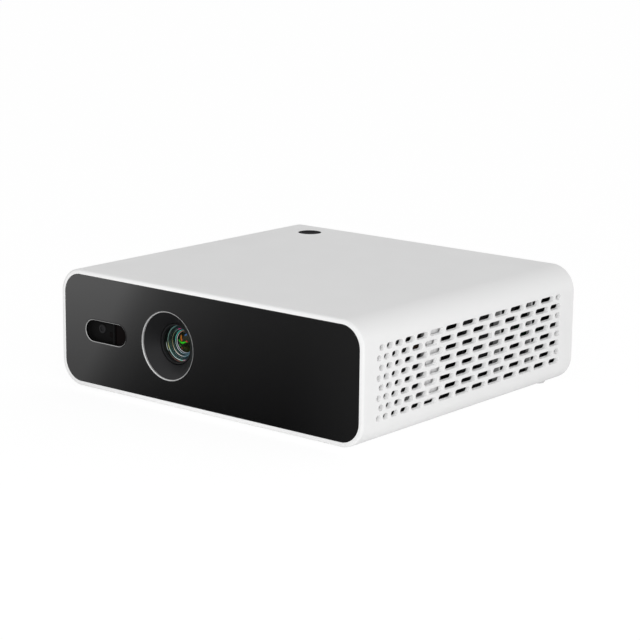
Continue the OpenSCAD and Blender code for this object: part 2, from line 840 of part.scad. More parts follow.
// Deck on top of the drive, with standoffs for the main board and a side that stands on the chassis
module upper_deck() {
    side_x = drive_x1 + 0.6;
    half_w = drive_w / 2 - 2;
    side_half_w = 24;
    color([0.6, 0.6, 0.62]) difference() {
        union() {
            block([battery_x0 - 8, drive_cy - half_w, deck_z],
                [side_x + sheet_t, drive_cy + half_w, deck_top]);
            block([side_x, drive_cy - side_half_w, chassis_z],
                [side_x + sheet_t, drive_cy + side_half_w, deck_top]);
            block([battery_x1 + 2, drive_cy - side_half_w, chassis_z],
                [side_x + sheet_t, drive_cy + side_half_w, chassis_z + sheet_t]);
            for (x = [board_x0 + post_inset, board_x0 + board_w - post_inset],
                y = [board_y0 + post_inset, board_y1 - post_inset])
                translate([x, y, deck_z]) cylinder(r = standoff_r, h = board_z - deck_z);
        }
        // Openings that save weight, in front of the main board and under it
        block([board_x0 - 8, board_y0 - 32, deck_z - cut], [board_x0 + 60, board_y0 - 8, deck_top + cut]);
        block([board_x0 + 12, board_y0 + 10, deck_z - cut],
            [board_x0 + 60, board_y1 - 14, deck_top + cut]);
    }
}

// Post on the deck that holds the key switch under the power button
module button_post() {
    post_h = switch_top - switch_h - deck_top;
    rib_t = 1.2;
    color([0.15, 0.15, 0.16]) translate([button_x, button_y, deck_top]) difference() {
        union() {
            translate([0, 0, post_base_h / 2]) cube([post_base, post_base, post_base_h], center = true);
            cylinder(r = post_r, h = post_h);
            for (turn = [0, 90]) rotate([0, 0, turn])
                translate([-post_base / 2, -rib_t / 2, 0]) cube([post_base, rib_t, post_h * 0.6]);
        }
        translate([0, 0, -cut]) cylinder(r = post_r - post_wall, h = post_h - 1);
    }
}

module button_switch() {
    color("black") translate([button_x, button_y, switch_top - switch_h]) {
        translate([0, 0, switch_h / 2]) cube([switch_w, switch_w, switch_h], center = true);
        cylinder(r = plunger_r, h = plunger_top - switch_top + switch_h);
    }
}

// Flush cap with a slightly dished top, a flange under the top wall and a stem over the switch
module power_button() {
    top = top_z - button_recess;
    flange_z = ceil_z - cap_flange_h - run_fit;
    stem_z = plunger_top + button_travel + run_fit;
    color([0.07, 0.07, 0.08]) translate([button_x, button_y, 0]) difference() {
        union() {
            translate([0, 0, flange_z]) cylinder(r = button_r - cap_gap, h = top - flange_z);
            translate([0, 0, flange_z]) cylinder(r = button_r + button_flange, h = cap_flange_h);
            translate([0, 0, stem_z]) cylinder(r = stem_r, h = flange_z + cap_gap - stem_z);
        }
        translate([0, 0, top + cap_dish_r - cap_dish]) sphere(cap_dish_r, $fn = 96);
    }
}

// ---------------------------------------------------------------- lens and focus drive

function involute(base_r, t) = base_r * [cos(t) + t * PI / 180 * sin(t), sin(t) - t * PI / 180 * cos(t)];

// One side of a tooth from root to tip, as [radius, half angle of the tooth at that radius]
function flank(m, teeth, steps, k) =
    let (pitch_r = m * teeth / 2,
        base_r = pitch_r * cos(20),
        tip_r = pitch_r + m,
        start_r = max(base_r, pitch_r - 1.2 * m),
        half = 90 / teeth - gear_backlash / pitch_r * 90 / PI + (tan(20) * 180 / PI - 20),
        r = start_r + (tip_r - start_r) * k / steps,
        t = sqrt(r * r / (base_r * base_r) - 1) * 180 / PI)
    [r, half - (t - acos(base_r / r))];

// Involute gear outline; a tooth is centred on angle 0
module gear_outline(m, teeth) {
    root_r = m * teeth / 2 - 1.25 * m;
    steps = 3;
    points = [for (i = [0:teeth - 1])
        let (mid = 360 * i / teeth, foot_half = min(flank(m, teeth, steps, 0)[1], 85 / teeth * 2))
        each concat(
            [root_r * [cos(mid - foot_half), sin(mid - foot_half)]],
            [for (k = [0:steps]) let (p = flank(m, teeth, steps, k))
                p[0] * [cos(mid - p[1]), sin(mid - p[1])]],
            [for (k = [steps:-1:0]) let (p = flank(m, teeth, steps, k))
                p[0] * [cos(mid + p[1]), sin(mid + p[1])]],
            [root_r * [cos(mid + foot_half), sin(mid + foot_half)]])];
    polygon(points);
}

// Fixed barrel: straight slots for the cam followers, an arm for the motor and a flange at its rear
module lens_barrel() {
    slot_len = focus_travel + 2 * follower_r + 2 * follower_gap;
    color([0.1, 0.1, 0.11]) difference() {
        union() {
            on_lens(barrel_front) cylinder(r = barrel_r, h = engine_d0 - barrel_front);
            on_lens(engine_d0 - barrel_flange_t) cylinder(r = barrel_flange_r, h = barrel_flange_t);
            on_lens(focus_d1 + 0.4) cylinder(r = shoulder_r, h = engine_d0 - focus_d1 - 0.4);
            on_lens(barrel_front) rotate([0, 0, pinion_angle]) {
                translate([gear_distance, 0, 0]) cylinder(r = focus_motor_r + 1.6, h = arm_t);
                translate([0, -4, 0]) cube([gear_distance, 8, arm_t]);
            }
        }
        on_lens(barrel_front - cut) cylinder(r = barrel_in, h = engine_d0 - barrel_front - 3 + cut);
        on_lens(engine_d0 - 4) cylinder(r = 7.1, h = 4 + cut);
        on_lens(barrel_front - cut) rotate([0, 0, pinion_angle]) translate([gear_distance, 0, 0])
            cylinder(r = focus_motor_r + seat_fit, h = arm_t + 2 * cut);
        for (turn = [90, 210, 330])
            on_lens(follower_d - focus_travel - follower_r - follower_gap) rotate([0, 0, turn])
                translate([barrel_in - cut, -follower_r - 0.1, 0])
                    cube([barrel_r - barrel_in + 2 * cut, 2 * follower_r + 0.2, slot_len]);
    }
}

// Sliding carrier of the front glass, with three followers that reach into the ring's cam grooves
module lens_carrier() {
    seat_d = carrier_front + glass_t + 0.45;
    color([0.08, 0.08, 0.09]) difference() {
        union() {
            on_lens(carrier_front) cylinder(r = carrier_r, h = carrier_back - carrier_front);
            for (turn = [90, 210, 330])
                on_lens(follower_d) rotate([0, 0, turn]) translate([carrier_r - 1, 0, 0])
                    rotate([0, 90, 0]) cylinder(r = follower_r, h = follower_tip - carrier_r + 1);
        }
        on_lens(carrier_front - cut) cylinder(r = glass_r + seat_fit, h = seat_d - carrier_front + cut);
        on_lens(seat_d - cut) cylinder(r = glass_r - 1.4, h = carrier_back - seat_d + 2 * cut);
    }
}

module front_lens() {
    color([0.4, 0.6, 0.55, 0.5]) on_lens(carrier_front + 0.1) lens_solid(glass_r, glass_t, 42);
}

module lens_retainer() {
    color([0.06, 0.06, 0.06]) on_lens(lens_depth) rotate_extrude($fn = 96)
        polygon([[retainer_in + 0.4, 0], [carrier_r, 0], [carrier_r, retainer_h],
            [retainer_in + 0.35, retainer_h], [retainer_in, 0.9]]);
}

module rear_lens() {
    color([0.5, 0.6, 0.6, 0.5]) on_lens(engine_d0 - 3.6) lens_solid(7.08, 2.4, 34);
}

// Ring round the barrel: a toothed rim outside, three cam grooves inside
module focus_ring() {
    step = 5;
    lead = focus_travel / focus_turn;
    color([0.2, 0.2, 0.21]) difference() {
        union() {
            on_lens(focus_d0) cylinder(r = focus_body_r, h = focus_d1 - focus_d0);
            on_lens(gear_d0) rotate([0, 0, pinion_angle]) linear_extrude(gear_w)
                gear_outline(gear_module, ring_teeth);
        }
        on_lens(focus_d0 - cut) cylinder(r = focus_in, h = focus_d1 - focus_d0 + 2 * cut);
        for (start = [90, 210, 330], t = [0:step:focus_turn])
            on_lens(follower_d - t * lead) rotate([0, 0, start - t]) translate([focus_in - cut, 0, 0])
                rotate([0, 90, 0]) cylinder(r = follower_r + follower_gap, h = cam_r - focus_in + cut,
                    $fn = 16);
    }
}

module focus_motor() {
    color("silver") on_lens(focus_motor_d0) rotate([0, 0, pinion_angle])
        translate([gear_distance, 0, 0]) {
            cylinder(r = focus_motor_r, h = focus_motor_d1 - focus_motor_d0);
            cylinder(r = motor_shaft_r, h = gear_d0 + gear_w - focus_motor_d0);
        }
}

module focus_pinion() {
    color("ivory") on_lens(gear_d0) rotate([0, 0, pinion_angle]) translate([gear_distance, 0, 0])
        linear_extrude(gear_w) difference() {
            rotate([0, 0, 180 + 180 / pinion_teeth]) gear_outline(gear_module, pinion_teeth);
            circle(motor_shaft_r + run_fit);
        }
}

// ---------------------------------------------------------------- light engine

module engine_housing() {
    y0 = front_y + engine_d0;
    y1 = front_y + engine_d1;
    color([0.3, 0.3, 0.32]) difference() {
        block([engine_x0, y0, engine_z0], [engine_x1, y1, engine_z1 - engine_wall]);
        block([engine_x0 + engine_wall, y0 + engine_wall, engine_z0 + engine_wall],
            [engine_x1 - engine_wall, y1 - engine_wall, engine_z1 + cut]);
        on_lens(engine_d0 - cut) cylinder(r = 6.4, h = engine_wall + 2 * cut);
        block([engine_x0 - cut, front_y + engine_mid_d - 5, mid_z - 4],
            [engine_x0 + engine_wall + cut, front_y + engine_mid_d + 5, mid_z + 4]);
        translate([engine_x1 - engine_wall - cut, front_y + engine_mid_d, mid_z]) rotate([0, 90, 0])
            cylinder(r = lamp_port_r, h = engine_wall + 2 * cut);
    }
}

module engine_cover() {
    color([0.35, 0.35, 0.37]) difference() {
        block([engine_x0, front_y + engine_d0, engine_z1 - engine_wall],
            [engine_x1, front_y + engine_d1, engine_z1]);
        for (x = [red_x, blue_x])
            translate([x, front_y + engine_mid_d, engine_z1 - engine_wall - cut])
                cylinder(r = lamp_port_r, h = engine_wall + 2 * cut);
    }
}

// Two glass wedges with a thin air gap along the diagonal
module prism() {
    half = prism_size / 2;
    slit = 0.06;
    color([0.7, 0.8, 0.85, 0.5])
        translate([lens_x, front_y + engine_mid_d, engine_z0 + engine_wall]) linear_extrude(prism_size) {
            polygon([[-half, -half], [half - slit, -half], [-half, half - slit]]);
            polygon([[half, half], [-half + slit, half], [half, -half + slit]]);
        }
}

// Two coloured glass plates that fold the red and blue light into the common path
module dichroic_plates() {
    color([0.5, 0.7, 0.8, 0.6]) for (x = [red_x, blue_x])
        translate([x, front_y + engine_mid_d, engine_z0 + engine_wall])
            rotate([90, 0, 0]) linear_extrude(11, center = true)
                polygon([[-6.5, 0], [-5.5, 0], [7.5, 13], [6.5, 13]]);
}

module relay_lens() {
    stand = mid_z - engine_z0 - engine_wall;
    color([0.7, 0.8, 0.85, 0.5]) translate([lens_x + 11, front_y + engine_mid_d, mid_z]) {
        rotate([0, 90, 0]) lens_solid(5.5, 1.6, 16);
        translate([0, -2, -stand]) cube([1.6, 4, stand - 4.5]);
    }
}

// Lamp on its board; local z is the direction of the light, and the board's face is at z = 0
module lamp(tint) {
    color(tint) difference() {
        union() {
            translate([0, 0, -lamp_board_t / 2])
                cube([lamp_board, lamp_board, lamp_board_t], center = true);
            translate([0, 0, 0.4 - 0.01]) cube([4, 4, 0.82], center = true);
            intersection() {
                cylinder(r = lamp_port_r - 0.4, h = 4);
                translate([0, 0, -1]) sphere(5, $fn = 48);
            }
        }
        for (x = [-1, 1], y = [-1, 1])
            translate([x * 5, y * 5, -lamp_board_t - cut]) cylinder(r = 0.8, h = lamp_board_t + 2 * cut);
    }
}

module red_lamp() {
    translate([red_x, front_y + engine_mid_d, engine_z1]) rotate([180, 0, 0]) lamp([0.8, 0.3, 0.25]);
}

module blue_lamp() {
    translate([blue_x, front_y + engine_mid_d, engine_z1]) rotate([180, 0, 0]) lamp([0.3, 0.4, 0.8]);
}

module green_lamp() {
    translate([engine_x1, front_y + engine_mid_d, mid_z]) rotate([0, -90, 0]) lamp([0.3, 0.7, 0.35]);
}

// Board with the micromirror chip, whose window looks into the prism
module micromirror_board() {
    color([0.1, 0.35, 0.2]) union() {
        block([engine_x0 - board_t, front_y + engine_d0, engine_z0],
            [engine_x0, front_y + engine_d1, engine_z1 + 6]);
        block([engine_x0 - 0.5, front_y + engine_mid_d - 4.5, mid_z - 3.5],
            [engine_x0 + engine_wall, front_y + engine_mid_d + 4.5, mid_z + 3.5]);
    }
}

module micromirror_heatsink() {
    x1 = engine_x0 - board_t;
    y0 = front_y + engine_d0 + 1;
    y1 = front_y + engine_d1 - 1;
    pitch = (y1 - y0 - 1) / 5;
    color([0.75, 0.75, 0.77]) union() {
        block([x1 - 2, y0, engine_z0 + 2], [x1, y1, engine_z1 - 2]);
        for (i = [0:5])
            block([x1 - 11, y0 + i * pitch, engine_z0 + 2], [x1 - 1, y0 + i * pitch + 1, engine_z1 - 2]);
    }
}

// ---------------------------------------------------------------- cooling

// Straight pipe from a point along a direction given by rotation angles
module straight_pipe(from, angles, len) {
    translate(from) rotate(angles) cylinder(r = pipe_r, h = len, $fn = 24);
}

// Quarter bend in a level plane, about a centre
module pipe_bend(centre, turn) {
    translate(centre) rotate([0, 0, turn]) rotate_extrude(angle = 90, $fn = 48)
        translate([bend_r, 0]) circle(pipe_r, $fn = 24);
}

// Two pipes: one over the red and blue lamps, one behind the green lamp, both into the fins
module heat_pipes() {
    high_y = front_y + engine_mid_d;
    high_z = engine_z1 + lamp_board_t + pipe_r;
    low_x = engine_x1 + lamp_board_t + pipe_r;
    low_y = front_y + engine_d1 - 4;
    end_y = fin_y1 + 2;
    color([0.72, 0.45, 0.3]) {
        union() {
            straight_pipe([red_x - 5, high_y, high_z], [0, 90, 0], pipe_x - bend_r - red_x + 5);
            pipe_bend([pipe_x - bend_r, high_y + bend_r, high_z], -90);
            straight_pipe([pipe_x, high_y + bend_r, high_z], [-90, 0, 0], end_y - high_y - bend_r);
        }
        union() {
            straight_pipe([low_x, high_y - 5, mid_z], [-90, 0, 0], low_y - high_y + 5);
            pipe_bend([low_x + bend_r, low_y, mid_z], 90);
            straight_pipe([low_x + bend_r, low_y + bend_r, mid_z], [0, 90, 0],
                pipe_x - low_x - 2 * bend_r);
            pipe_bend([pipe_x - bend_r, low_y + 2 * bend_r, mid_z], -90);
            straight_pipe([pipe_x, low_y + 2 * bend_r, mid_z], [-90, 0, 0],
                end_y - low_y - 2 * bend_r);
        }
    }
}

module fin_stack() {
    pitch = (fin_y1 - fin_y0 - fin_t) / (fin_count - 1);
    high_z = engine_z1 + lamp_board_t + pipe_r;
    color([0.7, 0.7, 0.72]) difference() {
        union() {
            block([fin_x0, fin_y0, fin_z0], [fin_x0 + fin_base_t, fin_y1, fin_z1]);
            for (i = [0:fin_count - 1])
                block([fin_x0 + 1, fin_y0 + i * pitch, fin_z0], [fin_x1, fin_y0 + i * pitch + fin_t, fin_z1]);
        }
        for (z = [mid_z, high_z])
            translate([pipe_x, fin_y0 - cut, z]) rotate([-90, 0, 0])
                cylinder(r = pipe_r + seat_fit, h = fin_y1 - fin_y0 + 2 * cut);
    }
}

// Fan frame: origin on its axis at the inner face, local z towards the right wall
module on_fan() {
    translate([fan_x0, fan_y, chassis_z + fan_size / 2]) rotate([0, 90, 0]) children();
}

module fan_frame() {
    hole = fan_size / 2 - fan_hole_inset;
    color([0.1, 0.1, 0.1]) on_fan() difference() {
        union() {
            linear_extrude(fan_t) difference() {
                rounded_rect(fan_size, fan_size, fan_corner_r);
                circle(fan_bore_r, $fn = 96);
            }
            cylinder(r = fan_hub_r, h = fan_base_t);
            for (turn = [45:90:315]) rotate([0, 0, turn]) translate([fan_hub_r - 1, -fan_arm_w / 2, 0])
                cube([fan_bore_r - fan_hub_r + 2, fan_arm_w, fan_base_t]);
            cylinder(r = fan_bearing_r, h = fan_t - 4);
        }
        for (x = [-1, 1], y = [-1, 1])
            translate([x * hole, y * hole, -cut]) cylinder(r = fan_hole_r, h = fan_t + 2 * cut);
        translate([0, 0, fan_base_t / 2]) cylinder(r = shaft_r + run_fit, h = fan_t);
    }
}

// Rotor: a cup with swept blades, on a shaft in the frame's bearing
module fan_rotor() {
    z0 = fan_base_t + 0.5;
    z1 = fan_t - 0.4;
    tip_r = fan_bore_r - fan_tip_gap;
    blade_r = tip_r - fan_hub_r;
    color([0.16, 0.16, 0.17]) on_fan() union() {
        difference() {
            translate([0, 0, z0]) cylinder(r = fan_hub_r, h = z1 - z0);
            translate([0, 0, z0 - cut]) cylinder(r = fan_hub_r - rotor_wall, h = z1 - z0 - rotor_wall + cut);
        }
        translate([0, 0, z0 - 1]) cylinder(r = shaft_r, h = z1 - z0 + 0.5);
        intersection() {
            difference() {
                translate([0, 0, z0]) cylinder(r = tip_r, h = z1 - z0);
                translate([0, 0, z0 - cut]) cylinder(r = fan_hub_r - rotor_wall / 2, h = z1 - z0 + 2 * cut);
            }
            for (k = [0:fan_blades - 1]) rotate([0, 0, k * 360 / fan_blades])
                translate([fan_hub_r + blade_r / 2, 0, (z0 + z1) / 2]) rotate([blade_tilt, 0, -12])
                    cube([blade_r + 4, blade_t, fan_t + 1], center = true);
        }
    }
}

// ---------------------------------------------------------------- boards, sockets, battery, speakers

// Board with its larger components: processor under a spreader, memory, coils and capacitors
module main_board() {
    color([0.08, 0.3, 0.18]) difference() {
        union() {
            block([board_x0, board_y0, board_z], [board_x0 + board_w, board_y1, board_top]);
            block([board_x0 + 26, board_y0 + 14, board_top], [board_x0 + 50, board_y0 + 38, board_top + 4]);
            for (x = [0, 1], y = [0, 1])
                block([board_x0 + 55 + 11 * x, board_y0 + 16 + 14 * y, board_top],
                    [board_x0 + 64 + 11 * x, board_y0 + 28 + 14 * y, board_top + 1.2]);
            for (x = [8, 16]) translate([board_x0 + x, board_y0 + 20, board_top])
                cylinder(r = 3, h = 7);
            block([board_x0 + 6, board_y0 + 34, board_top], [board_x0 + 18, board_y0 + 46, board_top + 4]);
        }
        for (x = [board_x0 + 4, board_x0 + board_w - 4], y = [board_y0 + 4, board_y1 - 4])
            translate([x, y, board_z - cut]) cylinder(r = 1.4, h = board_t + 2 * cut);
    }
}

// Sheet-metal socket shell with a tongue
module socket(x, w, h, depth, tongue_h, tongue_z) {
    translate([x - w / 2, port_end - depth, board_top]) union() {
        difference() {
            cube([w, depth, h]);
            translate([shell_t, socket_wall, shell_t]) cube([w - 2 * shell_t, depth, h - 2 * shell_t]);
        }
        translate([(w - tongue_w) / 2, 1, tongue_z]) cube([tongue_w, depth - 2, tongue_h]);
    }
}

module hdmi_socket() {
    color("silver") socket(hdmi_x, hdmi_w, hdmi_h, hdmi_depth, 0.9, 2.3);
}

module usb_sockets() {
    color("silver") for (x = usb_x) socket(x, usb_w, usb_h, usb_depth, 1.7, 3);
}

module audio_jack() {
    depth = audio_depth + audio_back;
    y0 = port_end - depth;
    color([0.12, 0.12, 0.12]) translate([audio_x, y0, board_top + audio_h / 2]) difference() {
        union() {
            translate([-audio_w / 2, 0, -audio_h / 2])
                cube([audio_w, rear_seat_y - panel_seat_gap - y0, audio_h]);
            rotate([-90, 0, 0]) cylinder(r = audio_h / 2, h = depth);
        }
        translate([0, depth - audio_depth, 0]) rotate([-90, 0, 0])
            cylinder(r = audio_bore_r, h = audio_depth + cut);
    }
}

module power_board() {
    z = power_z + board_t;
    color([0.08, 0.3, 0.18]) union() {
        block([power_x0, power_y0, power_z], [power_x1, board_y1, z]);
        translate([power_x0 + 7, power_y0 + 6, z]) cylinder(r = 5, h = 9);
        for (x = [18, 26]) translate([power_x0 + x, power_y0 + 4.5, z]) cube([6, 4, 6]);
    }
}

module dc_inlet() {
    y0 = port_end - inlet_depth;
    color([0.1, 0.1, 0.1]) translate([inlet_x, y0, power_z + board_t + inlet_h / 2]) union() {
        difference() {
            union() {
                translate([-inlet_w / 2, 0, -inlet_h / 2])
                    cube([inlet_w, rear_seat_y - panel_seat_gap - y0, inlet_h]);
                rotate([-90, 0, 0]) cylinder(r = inlet_w / 2, h = inlet_depth);
            }
            translate([0, 4, 0]) rotate([-90, 0, 0]) cylinder(r = inlet_bore_r, h = inlet_depth);
        }
        translate([0, 3, 0]) rotate([-90, 0, 0]) cylinder(r = inlet_pin_r, h = inlet_depth - 4);
    }
}

// Two flat cells side by side with a protection strip, under the drive
module battery_pack() {
    width = battery_x1 - battery_x0;
    cell_w = width / 2 - 0.5;
    color([0.2, 0.22, 0.3]) union() {
        for (i = [0, 1])
            translate([battery_x0 + width / 4 + i * width / 2, battery_y0 + 4, (chassis_z + battery_top) / 2])
                rotate([-90, 0, 0]) linear_extrude(battery_y1 - battery_y0 - 4)
                    rounded_rect(cell_w, battery_top - chassis_z, 3);
        block([battery_x0 + 4, battery_y0, chassis_z], [battery_x1 - 4, battery_y0 + 5, chassis_z + 4]);
    }
}

// Speaker box with a round driver; side is 1 on the right and -1 on the left
module speaker(side) {
    face_x = body_w / 2 - wall - speaker_gap;
    mid_y = speaker_y0 + speaker_d / 2;
    leg_x = chassis_w / 2 - 1;
    mirror([side < 0 ? 1 : 0, 0, 0]) difference() {
        union() {
            block([face_x - speaker_w, speaker_y0, speaker_z],
                [face_x - cone_proud, speaker_y0 + speaker_d, speaker_z + speaker_h]);
            translate([face_x - 2 * cone_proud, mid_y, mid_z]) rotate([0, 90, 0])
                cylinder(r = cone_r, h = 2 * cone_proud);
            block([leg_x - speaker_leg.x, mid_y - speaker_leg_lead, chassis_z],
                [leg_x, mid_y - speaker_leg_lead + speaker_leg.y, speaker_z + 1]);
        }
        translate([face_x + cone_dish_r - cone_dish_depth, mid_y, mid_z]) sphere(cone_dish_r);
    }
}

module speakers() {
    color([0.13, 0.13, 0.14]) for (side = [-1, 1]) speaker(side);
}

// White post behind the right wall that carries the antenna board
module side_bracket() {
    x1 = right_x - wall - bracket_gap;
    y1 = bracket_y0 + bracket_w;
    arm_z = foot_h + edge_r;
    color([0.92, 0.92, 0.92]) union() {
        block([x1 - bracket_t, bracket_y0, arm_z], [x1, y1, mid_z + rib_h / 2]);
        block([x1 - bracket_arm, bracket_y0, arm_z], [x1, y1, arm_z + bracket_arm_t]);
        block([x1 - bracket_arm, bracket_y0, chassis_z],
            [x1 - bracket_arm + bracket_leg_t, y1, arm_z + bracket_arm_t]);
    }
}

// ---------------------------------------------------------------- disc drive

module drive_case() {
    color([0.75, 0.75, 0.76]) in_drive() union() {
        difference() {
            translate([case_x0, -drive_w / 2, 0]) cube([case_len, drive_w, drive_h - sheet]);
            translate([case_x0 - cut, -drive_w / 2 + sheet, sheet])
                cube([case_len + cut - sheet, drive_w - 2 * sheet, drive_h]);
            for (y = [-1, 1]) translate([disc_x + 30, y * 36, -cut])
                linear_extrude(sheet + 2 * cut) stadium(30, 4);
        }
        for (y = [-1, 1])
            translate([case_x0, y * rail_y - guide_t / 2, sheet / 2])
                cube([case_len - 4, guide_t, sheet / 2 + guide_h]);
    }
}

module drive_cover() {
    color([0.8, 0.8, 0.81]) in_drive() difference() {
        translate([case_x0, -drive_w / 2, drive_h - sheet]) cube([case_len, drive_w, sheet]);
        translate([disc_x, 0, drive_h - sheet - cut]) cylinder(r = hub_r + 3, h = cut + sheet / 2);
        for (y = [-1, 1], x = [12, case_len - 6])
            translate([case_x0 + x, y * (drive_w / 2 - 4), drive_h - sheet - cut])
                cylinder(r = 1.1, h = sheet + 2 * cut);
    }
}

// Outline of the traverse plate in its own frame, grown by e on each side
function traverse_outline(e) = [
    [plate_u0 - e, plate_v0 - e], [plate_u1 - plate_slant.x, plate_v0 - e],
    [plate_u1 + e, plate_v0 + plate_slant.y - e], [plate_u1 + e, plate_v1 + e], [plate_u0 - e, plate_v1 + e]
];

// Tray: narrow below for the rails, wide above, with the disc well and the traverse window
module disc_tray() {
    color([0.22, 0.22, 0.23]) difference() {
        in_drive() union() {
            translate([bezel_t, -tray_low_w / 2, tray_z])
                cube([tray_len, tray_low_w, tray_step_z - tray_z + 0.5]);
            translate([bezel_t, -tray_w / 2, tray_step_z])
                cube([tray_len, tray_w, tray_top_z - tray_step_z]);
        }
        in_drive() {
            translate([disc_x, 0, well_z]) cylinder(r = well_r, h = tray_top_z, $fn = 128);
            translate([disc_x, 0, tray_z - cut]) cylinder(r = platter_r + 1.4, h = tray_top_z);
            for (side = [-1, 1])
                translate([disc_x, side * well_r, tray_step_z - cut])
                    cylinder(r = 9, h = tray_top_z);
            translate([bezel_t - cut, eject_y, drive_h / 2]) rotate([90, 0, 90])
                linear_extrude(cut + eject_travel + 2.8) rounded_rect(eject_len + 4, 4 * eject_r, 1);
        }
        on_traverse() {
            translate([0, 0, tray_z - cut]) linear_extrude(traverse_top - tray_z + cut)
                polygon(traverse_outline(plate_gap));
            translate([0, 0, tray_z]) linear_extrude(tray_top_z)
                polygon(traverse_outline(-1));
        }
    }
}

// Front of the tray, flush in the left side, with a finger bevel and holes for the key and the pin
module tray_bezel() {
    width = drive_w - 2 * bezel_z;
    color([0.9, 0.9, 0.9]) in_drive() translate([0, 0, bezel_z]) difference() {
        translate([0, 0, bezel_h / 2]) rotate([90, 0, 90]) linear_extrude(bezel_t)
            rounded_rect(width, bezel_h, mouth_r - move_gap);
        translate([-cut, eject_y, bezel_h / 2]) rotate([90, 0, 90])
            linear_extrude(bezel_t + 2 * cut) stadium(eject_len + 2 * move_gap, eject_r + move_gap);
        translate([-cut, eject_y - eject_len - 3, bezel_h / 2]) rotate([0, 90, 0])
            cylinder(r = pin_hole_r, h = bezel_t + 2 * cut, $fn = 24);
        // Groove under the lower edge for a fingertip
        translate([-0.9, 0, -0.1]) rotate([90, 0, 0]) cylinder(r = 1.8, h = 40, center = true);
    }
}

module eject_button() {
    color([0.82, 0.82, 0.83]) in_drive() translate([0, eject_y, drive_h / 2])
        rotate([90, 0, 90]) union() {
            translate([0, 0, 0.1]) linear_extrude(bezel_t + 0.5) stadium(eject_len, eject_r);
            translate([0, 0, bezel_t + 0.1]) linear_extrude(0.9) stadium(eject_len + 2.4, eject_r + 0.9);
            translate([0, 0, bezel_t + 0.5]) cylinder(r = 1, h = 1.6);
        }
}

// Telescopic rails between the tray and the case; they travel half as far as the tray
module tray_rails() {
    color("silver") in_drive() for (side = [-1, 1])
        translate([case_x0 + 1, side * rail_y - rail_w / 2, rail_z]) difference() {
            cube([rail_len, rail_w, rail_top - rail_z]);
            translate([6, side > 0 ? -cut : rail_w - rail_groove, 1.1])
                cube([rail_len - 12, rail_groove + cut, rail_top - rail_z - 2.2]);
        }
}

// Lug on the traverse plate, from u along the travel and centred on v
module lug(u, v, len) {
    translate([u, v - lug_w / 2, traverse_top - 0.1]) cube([len, lug_w, lug_top - traverse_top + 0.1]);
}

// Plate with the spindle motor, the guide rods in their lugs and the sled motor
module traverse_unit() {
    color([0.65, 0.65, 0.67]) on_traverse() difference() {
        union() {
            translate([0, 0, traverse_z]) linear_extrude(traverse_t) polygon(traverse_outline(0));
            translate([0, 0, traverse_top - 0.1]) cylinder(r = motor_r, h = motor_top - traverse_top + 0.1);
            for (v = [-rod_v, rod_v]) {
                translate([rod_u0 - lug_t / 2, v, rod_z]) rotate([0, 90, 0])
                    cylinder(r = rod_r, h = rod_u1 - rod_u0 + lug_t, $fn = 24);
                for (u = [rod_u0 - lug_t + 0.5, rod_u1 - lug_t + 0.5]) lug(u, v, lug_t);
            }
            lug(screw_u0 - 6, screw_v, 8);
            lug(screw_u1 - 1, screw_v, lug_t);
        }
        translate([0, 0, traverse_top + 0.2]) cylinder(r = shaft_r + run_fit, h = motor_top);
        translate([screw_u0 - 1, screw_v, rod_z]) rotate([0, 90, 0])
            cylinder(r = screw_r + run_fit, h = screw_u1 - screw_u0 + 3);
        // Opening under the sled
        translate([sled_u - 4, -rod_v + 3, traverse_z - cut])
            cube([sled_travel + 8, 2 * rod_v - 6, traverse_t + 2 * cut]);
    }
}

module turntable() {
    color([0.15, 0.15, 0.16]) on_traverse() union() {
        translate([0, 0, traverse_top + 0.5]) cylinder(r = shaft_r, h = platter_z - traverse_top);
        translate([0, 0, platter_z]) cylinder(r = platter_r, h = platter_top - platter_z);
        translate([0, 0, platter_top]) cylinder(r = hub_r, h = 1.2);
        translate([0, 0, platter_top + 1.2]) cylinder(r1 = hub_r, r2 = hub_r - 1.6, h = 1);
        for (turn = [0, 120, 240]) rotate([0, 0, turn])
            translate([hub_r - 1, 0, platter_top + 1.3]) sphere(0.8, $fn = 24);
    }
}

// Optical sled on the two rods, with the pickup lens and an arm that follows the lead screw
module optical_sled() {
    z0 = traverse_top + 0.3;
    color([0.4, 0.4, 0.42]) on_traverse() translate([sled_u, 0, 0]) difference() {
        union() {
            translate([-sled_half_u, -sled_half_v, z0])
                cube([2 * sled_half_u, 2 * sled_half_v, lug_top + 0.2 - z0]);
            translate([-4, -5, lug_top]) cube([8, 10, 0.5]);
            translate([0, 0, lug_top]) cylinder(r = 2.2, h = 0.8);
            translate([-2, screw_v + screw_r + 0.3, z0])
                cube([4, -sled_half_v - screw_v - screw_r, lug_top - z0]);
        }
        for (v = [-rod_v, rod_v]) translate([-sled_half_u - cut, v, rod_z]) rotate([0, 90, 0])
            cylinder(r = rod_r + run_fit, h = 2 * sled_half_u + 2 * cut, $fn = 24);
        translate([0, 0, lug_top + 0.9]) sphere(1.2, $fn = 24);
    }
}

module lead_screw() {
    turns = floor((screw_u1 - screw_u0 - 6) / screw_groove);
    color("silver") on_traverse() translate([screw_u0 - 0.5, screw_v, rod_z]) rotate([0, 90, 0])
        difference() {
            cylinder(r = screw_r, h = screw_u1 - screw_u0 + 1.5, $fn = 24);
            for (i = [0:turns - 1]) translate([0, 0, 4 + i * screw_groove])
                tube(screw_r + cut, screw_r - 0.25, 0.6);
        }
}

